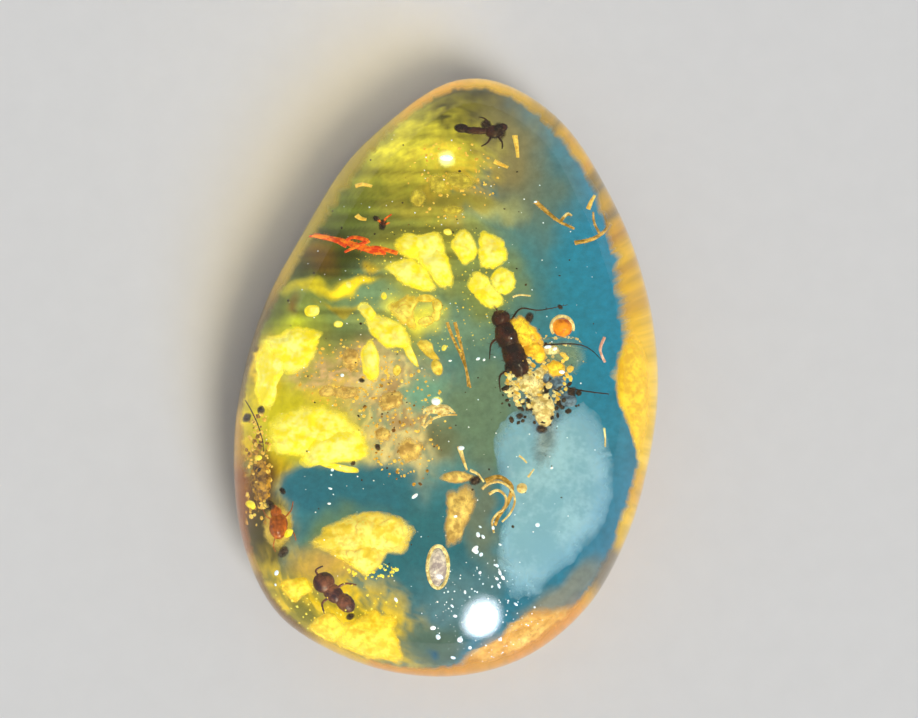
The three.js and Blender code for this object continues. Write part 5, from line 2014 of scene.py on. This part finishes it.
@dataclass(frozen=True)
class Loose(Batch):
    """The loose small things: beads, glints, slivers, ribbons and dark spots."""

    things: tuple[Beads | Pad | Threads, ...] = (
        # painted glints: white glowing beads for bubbles catching the light
        Beads("white_glints", GLINT, Slot.PALE, (
            (538, 525, 2.0), (552, 468, 1.2), (415, 496, 2.4), (276, 573, 2.2), (275, 585, 1.2),
            (461, 448, 2.4), (456, 516, 1.6), (475, 549, 2.6), (481, 555, 1.8), (436, 402, 3.6),
            (450, 361, 1.2), (478, 359, 1.7), (484, 360, 1.2), (495, 357, 0.8), (562, 372, 2.0),
            (548, 347, 2.2), (555, 349, 1.6), (342, 375, 1.6), (440, 577, 2.6), (446, 158, 4.0),
            (536, 202, 1.2), (332, 470, 1.3), (331, 475, 0.8), (330, 489, 1.3), (329, 504, 1.2),
            (333, 495, 0.6), (497, 566, 1.6), (500, 545, 1.2), (493, 529, 1.0), (433, 628, 2.3),
            (438, 637, 2.3), (452, 606, 1.4), (453, 658, 1.9), (455, 616, 1.6), (460, 640, 2.6),
            (396, 600, 1.8), (516, 604, 1.5), (500, 640, 1.5), (470, 648, 1.6), (478, 535, 2.0),
            (483, 537, 1.6), (480, 527, 1.2), (476, 552, 2.2), (493, 528, 1.4), (500, 573, 1.8),
            (503, 578, 1.8), (497, 579, 1.4), (480, 573, 1.4), (465, 592, 1.4), (499, 586, 1.6)), 0.35),
        Beads("gold_bead", HONEY_THREAD, Slot.ORANGE, ((522, 488, 4.6),), 0.2),
        spots("yellow_dots", YELLOW, Slot.YELLOW, (
            (338, 324, 4.4), (265, 482, 4.2), (250, 505, 4.4), (289, 533, 4.6), (348, 285, 4.0),
            (258, 458, 3.4), (384, 296, 3.4), (447, 232, 4.0), (444, 348, 3.0))),
        spots("dark_dots", DARK_SPOT, Slot.CRUMB, (
            (459, 128, 5.0), (530, 318, 6.0), (269, 505, 6.4), (283, 552, 6.4), (282, 491, 4.0),
            (350, 617, 4.6), (260, 410, 4.6), (361, 380, 3.0), (353, 463, 3.0), (378, 447, 4.0),
            (520, 416, 4.4), (508, 368, 5.0), (542, 429, 6.4), (572, 392, 6.0), (560, 307, 3.4),
            (475, 481, 7.0), (500, 130, 8.0), (486, 124, 6.0), (383, 224, 6.0), (376, 218, 4.0),
            (246, 418, 5.0), (257, 470, 5.0))),
        spots("slate_dots", SLATE, Slot.HUSK, ((558, 383, 9.0), (547, 378, 5.4))),
        Pad("cream_crumbs", CREAM, Slot.PALE, (
            Lobe(pixels((524, 372), (536, 374), (544, 384), (542, 394), (530, 396), (520, 388)), 0.3),
            Lobe(pixels((532, 398), (544, 392), (553, 400), (553, 414), (545, 424), (534, 417)), 0.35),
            Lobe(oval((515, 389), (5, 4)), 0.2), Lobe(oval((551, 350), (8, 5), -0.1), 0.2),
            Lobe(oval((541, 374), (9, 7), 0.4), 0.25), Lobe(oval((524, 380), (8, 6)), 0.2)), 0.3, 0.3,
            packed=False),
        Threads("top_slivers", GOLD, Slot.GOLD, (
            ((515, 135), (517, 146), (518, 157)), ((494, 161), (501, 164), (508, 167)),
            ((588, 209), (591, 202), (595, 195)), ((355, 186), (362, 184), (372, 186)),
            ((356, 215), (360, 218), (366, 219))), (0.1, 0.06)),
        Threads("rootlet_knots", ROOT, Slot.ROOT, (
            ((307, 234), (322, 236), (334, 240), (346, 246)), ((340, 244), (352, 237), (367, 240)),
            ((344, 252), (356, 246), (369, 240)), ((360, 250), (376, 247), (398, 253))),
            (0.05, 0.09), 0.2),
        Threads("red_hairs", ROOT, Slot.ROOT, (
            ((378, 219), (384, 224), (390, 222)), ((383, 224), (386, 218), (392, 214))),
            (0.05, 0.03), 0.2),
        Threads("curl_ribbons", HONEY_THREAD, Slot.TWIG, (
            ((482, 489), (490, 483), (501, 482), (511, 489), (515, 500), (511, 512), (502, 522)),
            ((489, 494), (498, 490), (506, 497), (504, 508), (497, 514), (492, 522), (494, 533)),
            ((470, 470), (478, 474), (484, 482)),
            ((422, 426), (428, 414), (441, 408), (455, 413)),
            ((424, 428), (433, 419), (446, 415), (457, 415))), (0.06, 0.035), 0.25),
        Threads("amber_drop", HONEY_THREAD, Slot.ORANGE, (
            ((459, 446), (461, 453), (464, 462), (467, 470)),), (0.1, 0.04), 0.2),
        Threads("crack", SPECK, Slot.CRUMB, (
            ((240, 400), (250, 409), (257, 424), (262, 440), (263, 452)),), (0.03, 0.02), 0.2),
        Threads("pale_slivers", PALE, Slot.PALE, (
            ((519, 456), (523, 459), (527, 463)), ((528, 477), (531, 473), (534, 469)),
            ((604, 428), (605, 437), (605, 447)), ((513, 297), (520, 295), (531, 296)),
            ((564, 217), (568, 213), (572, 216))), (0.045, 0.03), 0.1),
        Threads("olive_blade", TWIG, Slot.TWIG, (
            ((447, 322), (452, 336), (460, 354), (466, 370), (470, 388)),), (0.06, 0.04)),
    )


@dataclass(frozen=True)
class Grit(Batch):
    """Everything small: granules, dark specks and the bubbles round the glint, whose white glow is a
    painted glint.
    """

    things: tuple[Strewing, ...] = (
        Strewing("granules_left", Grain.CRUMB, GOLD, Slot.GOLD, Patch((345, 375), (48, 36)), 150,
                 (0.015, 0.07), seed=2),
        Strewing("granules_middle", Grain.CRUMB, GOLD, Slot.GOLD, Patch((402, 418), (44, 60)), 170,
                 (0.015, 0.07), seed=3),
        Strewing("grains_middle", Grain.CRUMB, CRUMBS, Slot.CRUMB, Patch((405, 430), (46, 60)), 60,
                 (0.02, 0.07), seed=4),
        Strewing("granules_top", Grain.CRUMB, GOLD, Slot.GOLD, Patch((452, 180), (46, 40)), 90,
                 (0.02, 0.07), seed=5),
        Strewing("granules_edge", Grain.CRUMB, GOLD, Slot.GOLD, Patch((258, 470), (14, 60)), 80,
                 (0.03, 0.11), seed=6),
        Strewing("brown_edge", Grain.CRUMB, CRUMBS, Slot.CRUMB, Patch((256, 480), (14, 66)), 50,
                 (0.04, 0.12), seed=23),
        Strewing("granules_fan", Grain.CRUMB, YELLOW_GRIT, Slot.YELLOW, Patch((370, 570), (30, 8)), 60,
                 (0.02, 0.07), seed=7),
        Strewing("grit_upper", Grain.CRUMB, YELLOW_GRIT, Slot.YELLOW, Patch((432, 290), (86, 70)), 330,
                 (0.01, 0.035), 0.45, seed=31),
        Strewing("granules_lower", Grain.CRUMB, YELLOW_GRIT, Slot.YELLOW, Patch((330, 610), (70, 26)),
                 90, (0.015, 0.05), seed=24),
        Strewing("nest_grains", Grain.CRUMB, PALE, Slot.PALE, Patch((536, 386), (30, 26)), 110,
                 (0.05, 0.13), 0.3, seed=9),
        Strewing("nest_gold", Grain.CRUMB, GOLD, Slot.GOLD, Patch((540, 372), (34, 40)), 90,
                 (0.04, 0.12), 0.3, seed=10),
        Strewing("nest_dark", Grain.CRUMB, SPECK, Slot.CRUMB, Patch((540, 400), (40, 32)), 60,
                 (0.03, 0.12), 0.3, seed=25),
        Strewing("dark_dust", Grain.CRUMB, SPECK, Slot.CRUMB, Patch((430, 360), (170, 230)), 120,
                 (0.015, 0.05), 0.5, seed=12),
        Strewing("glint_bubbles", Grain.BUBBLE, GLINT, Slot.PALE, Patch((486, 610), (56, 50)), 150,
                 (0.008, 0.04), 0.5, seed=13),
        Strewing("far_bubbles", Grain.BUBBLE, GLINT, Slot.PALE, Patch((430, 370), (175, 250)), 170,
                 (0.01, 0.03), 0.8, seed=15),
    )


@dataclass(frozen=True)
class Studio:
    """The pale floor, the soft lamps and the camera."""

    floor_size: float = 3.0
    key_from: tuple[float, float, float] = (0.42, -0.62, 0.66)
    key_strength: float = 2.3
    key_angle: float = math.radians(22)
    glint_from: tuple[float, float, float] = (0.252, -0.931, 0.265)
    glint_at: tuple[float, float, float] = (0.0015, -0.0105, 0.006)
    glint_away: float = 0.30
    glint_size: tuple[float, float] = (0.10, 0.22)
    glint_power: float = 8.0
    glint_falloff: float = 2.2
    glint_colour: Colour = (0.88, 0.93, 1.0)
    ambient: float = 0.34

    def build(self) -> None:
        """Set up floor, light and camera."""
        self.floor()
        self.key()
        self.glint()
        self.room()
        self.camera()

    def floor(self) -> None:
        """A wide pale floor with a faint, even tooth."""
        material, tree = new_material("pale_floor")
        place = flat_place(tree)
        tooth = tree.add("ShaderNodeTexNoise", {"Vector": place, "Scale": 0.8, "Detail": 4.0})
        colour = tree.mix(tooth.outputs["Fac"], (0.76, 0.76, 0.755, 1), (0.80, 0.80, 0.795, 1))
        shader = tree.add("ShaderNodeBsdfPrincipled", {"Base Color": colour, "Roughness": 0.7})
        tree.surface(shader)
        half = self.floor_size / 2 / MM
        corners = np.array([[-half, -half, 0], [half, -half, 0], [half, half, 0], [-half, half, 0]])
        plane = solid("floor", corners, [(0, 1, 2, 3)], material)

    def key(self) -> None:
        """A soft lamp from above that gives no glint."""
        key = bpy.data.lights.new("key", "SUN")
        key.energy = self.key_strength
        key.angle = self.key_angle
        lamp = placed("key", key)
        lamp.rotation_euler = Vector(self.key_from).to_track_quat("Z", "Y").to_euler()
        lamp.visible_glossy = False

    def glint(self) -> None:
        """A long soft lamp that gives only the glint, brightest in its middle."""
        glint = bpy.data.lights.new("glint", "AREA")
        glint.shape = "ELLIPSE"
        glint.size, glint.size_y = self.glint_size
        glint.energy = self.glint_power
        glint.color = self.glint_colour
        glint.use_nodes = True
        glint.node_tree.nodes.clear()
        tree = Tree(glint.node_tree)
        across = tree.add("ShaderNodeNewGeometry")
        away = tree.add("ShaderNodeVectorMath", {0: across.outputs["Parametric"],
                        1: (0.5, 0.5, 0.0)}, operation="SUBTRACT")
        flat = tree.add("ShaderNodeVectorMath", {0: away.outputs[0], 1: (2.0, 2.0, 0.0)},
                        operation="MULTIPLY")
        length = tree.add("ShaderNodeVectorMath", {0: flat.outputs[0]}, operation="LENGTH")
        left = tree.math("MAXIMUM", tree.math("SUBTRACT", 1.0, length.outputs["Value"]), 0.0)
        strength = tree.math("POWER", left, self.glint_falloff)
        glow = tree.add("ShaderNodeEmission", {"Strength": strength})
        give = tree.add("ShaderNodeOutputLight")
        tree.tree.links.new(glow.outputs[0], give.inputs["Surface"])
        lamp = placed("glint", glint)
        away = Vector(self.glint_from).normalized()
        lamp.location = Vector(self.glint_at) + away * self.glint_away
        lamp.rotation_euler = away.to_track_quat("Z", "Y").to_euler()
        lamp.visible_diffuse = False
        lamp.visible_transmission = False

    def room(self) -> None:
        """An even white light from all round."""
        world = bpy.data.worlds.new("room")
        world.use_nodes = True
        back = world.node_tree.nodes["Background"]
        back.inputs["Color"].default_value = (1.0, 1.0, 1.0, 1.0)
        back.inputs["Strength"].default_value = self.ambient
        bpy.context.scene.world = world

    def camera(self) -> None:
        """The camera at the picture's angle, a little off straight down."""
        eye = bpy.data.cameras.new("camera")
        eye.lens = SIGHT.lens
        eye.sensor_width = SIGHT.sensor
        eye.clip_start = 0.001
        view = placed("camera", eye)
        view.location = Vector(SIGHT.eye) * MM
        towards = Vector(SIGHT.target) * MM - view.location
        view.rotation_euler = towards.to_track_quat("-Z", "Y").to_euler()
        bpy.context.scene.camera = view
        bpy.context.scene.view_settings.view_transform = "Standard"


def main() -> None:
    """Build every piece in order."""
    logging.basicConfig(level=logging.INFO, format="%(message)s")
    for group in (ClearStone(), BlueDepth(), Flakes(), Insects(), Fibres(), RimGlowBand(), Veils(), Wing(),
                  Husks(), Grit(), Loose(), Studio()):
        group.build()


if __name__ == "__main__":
    main()
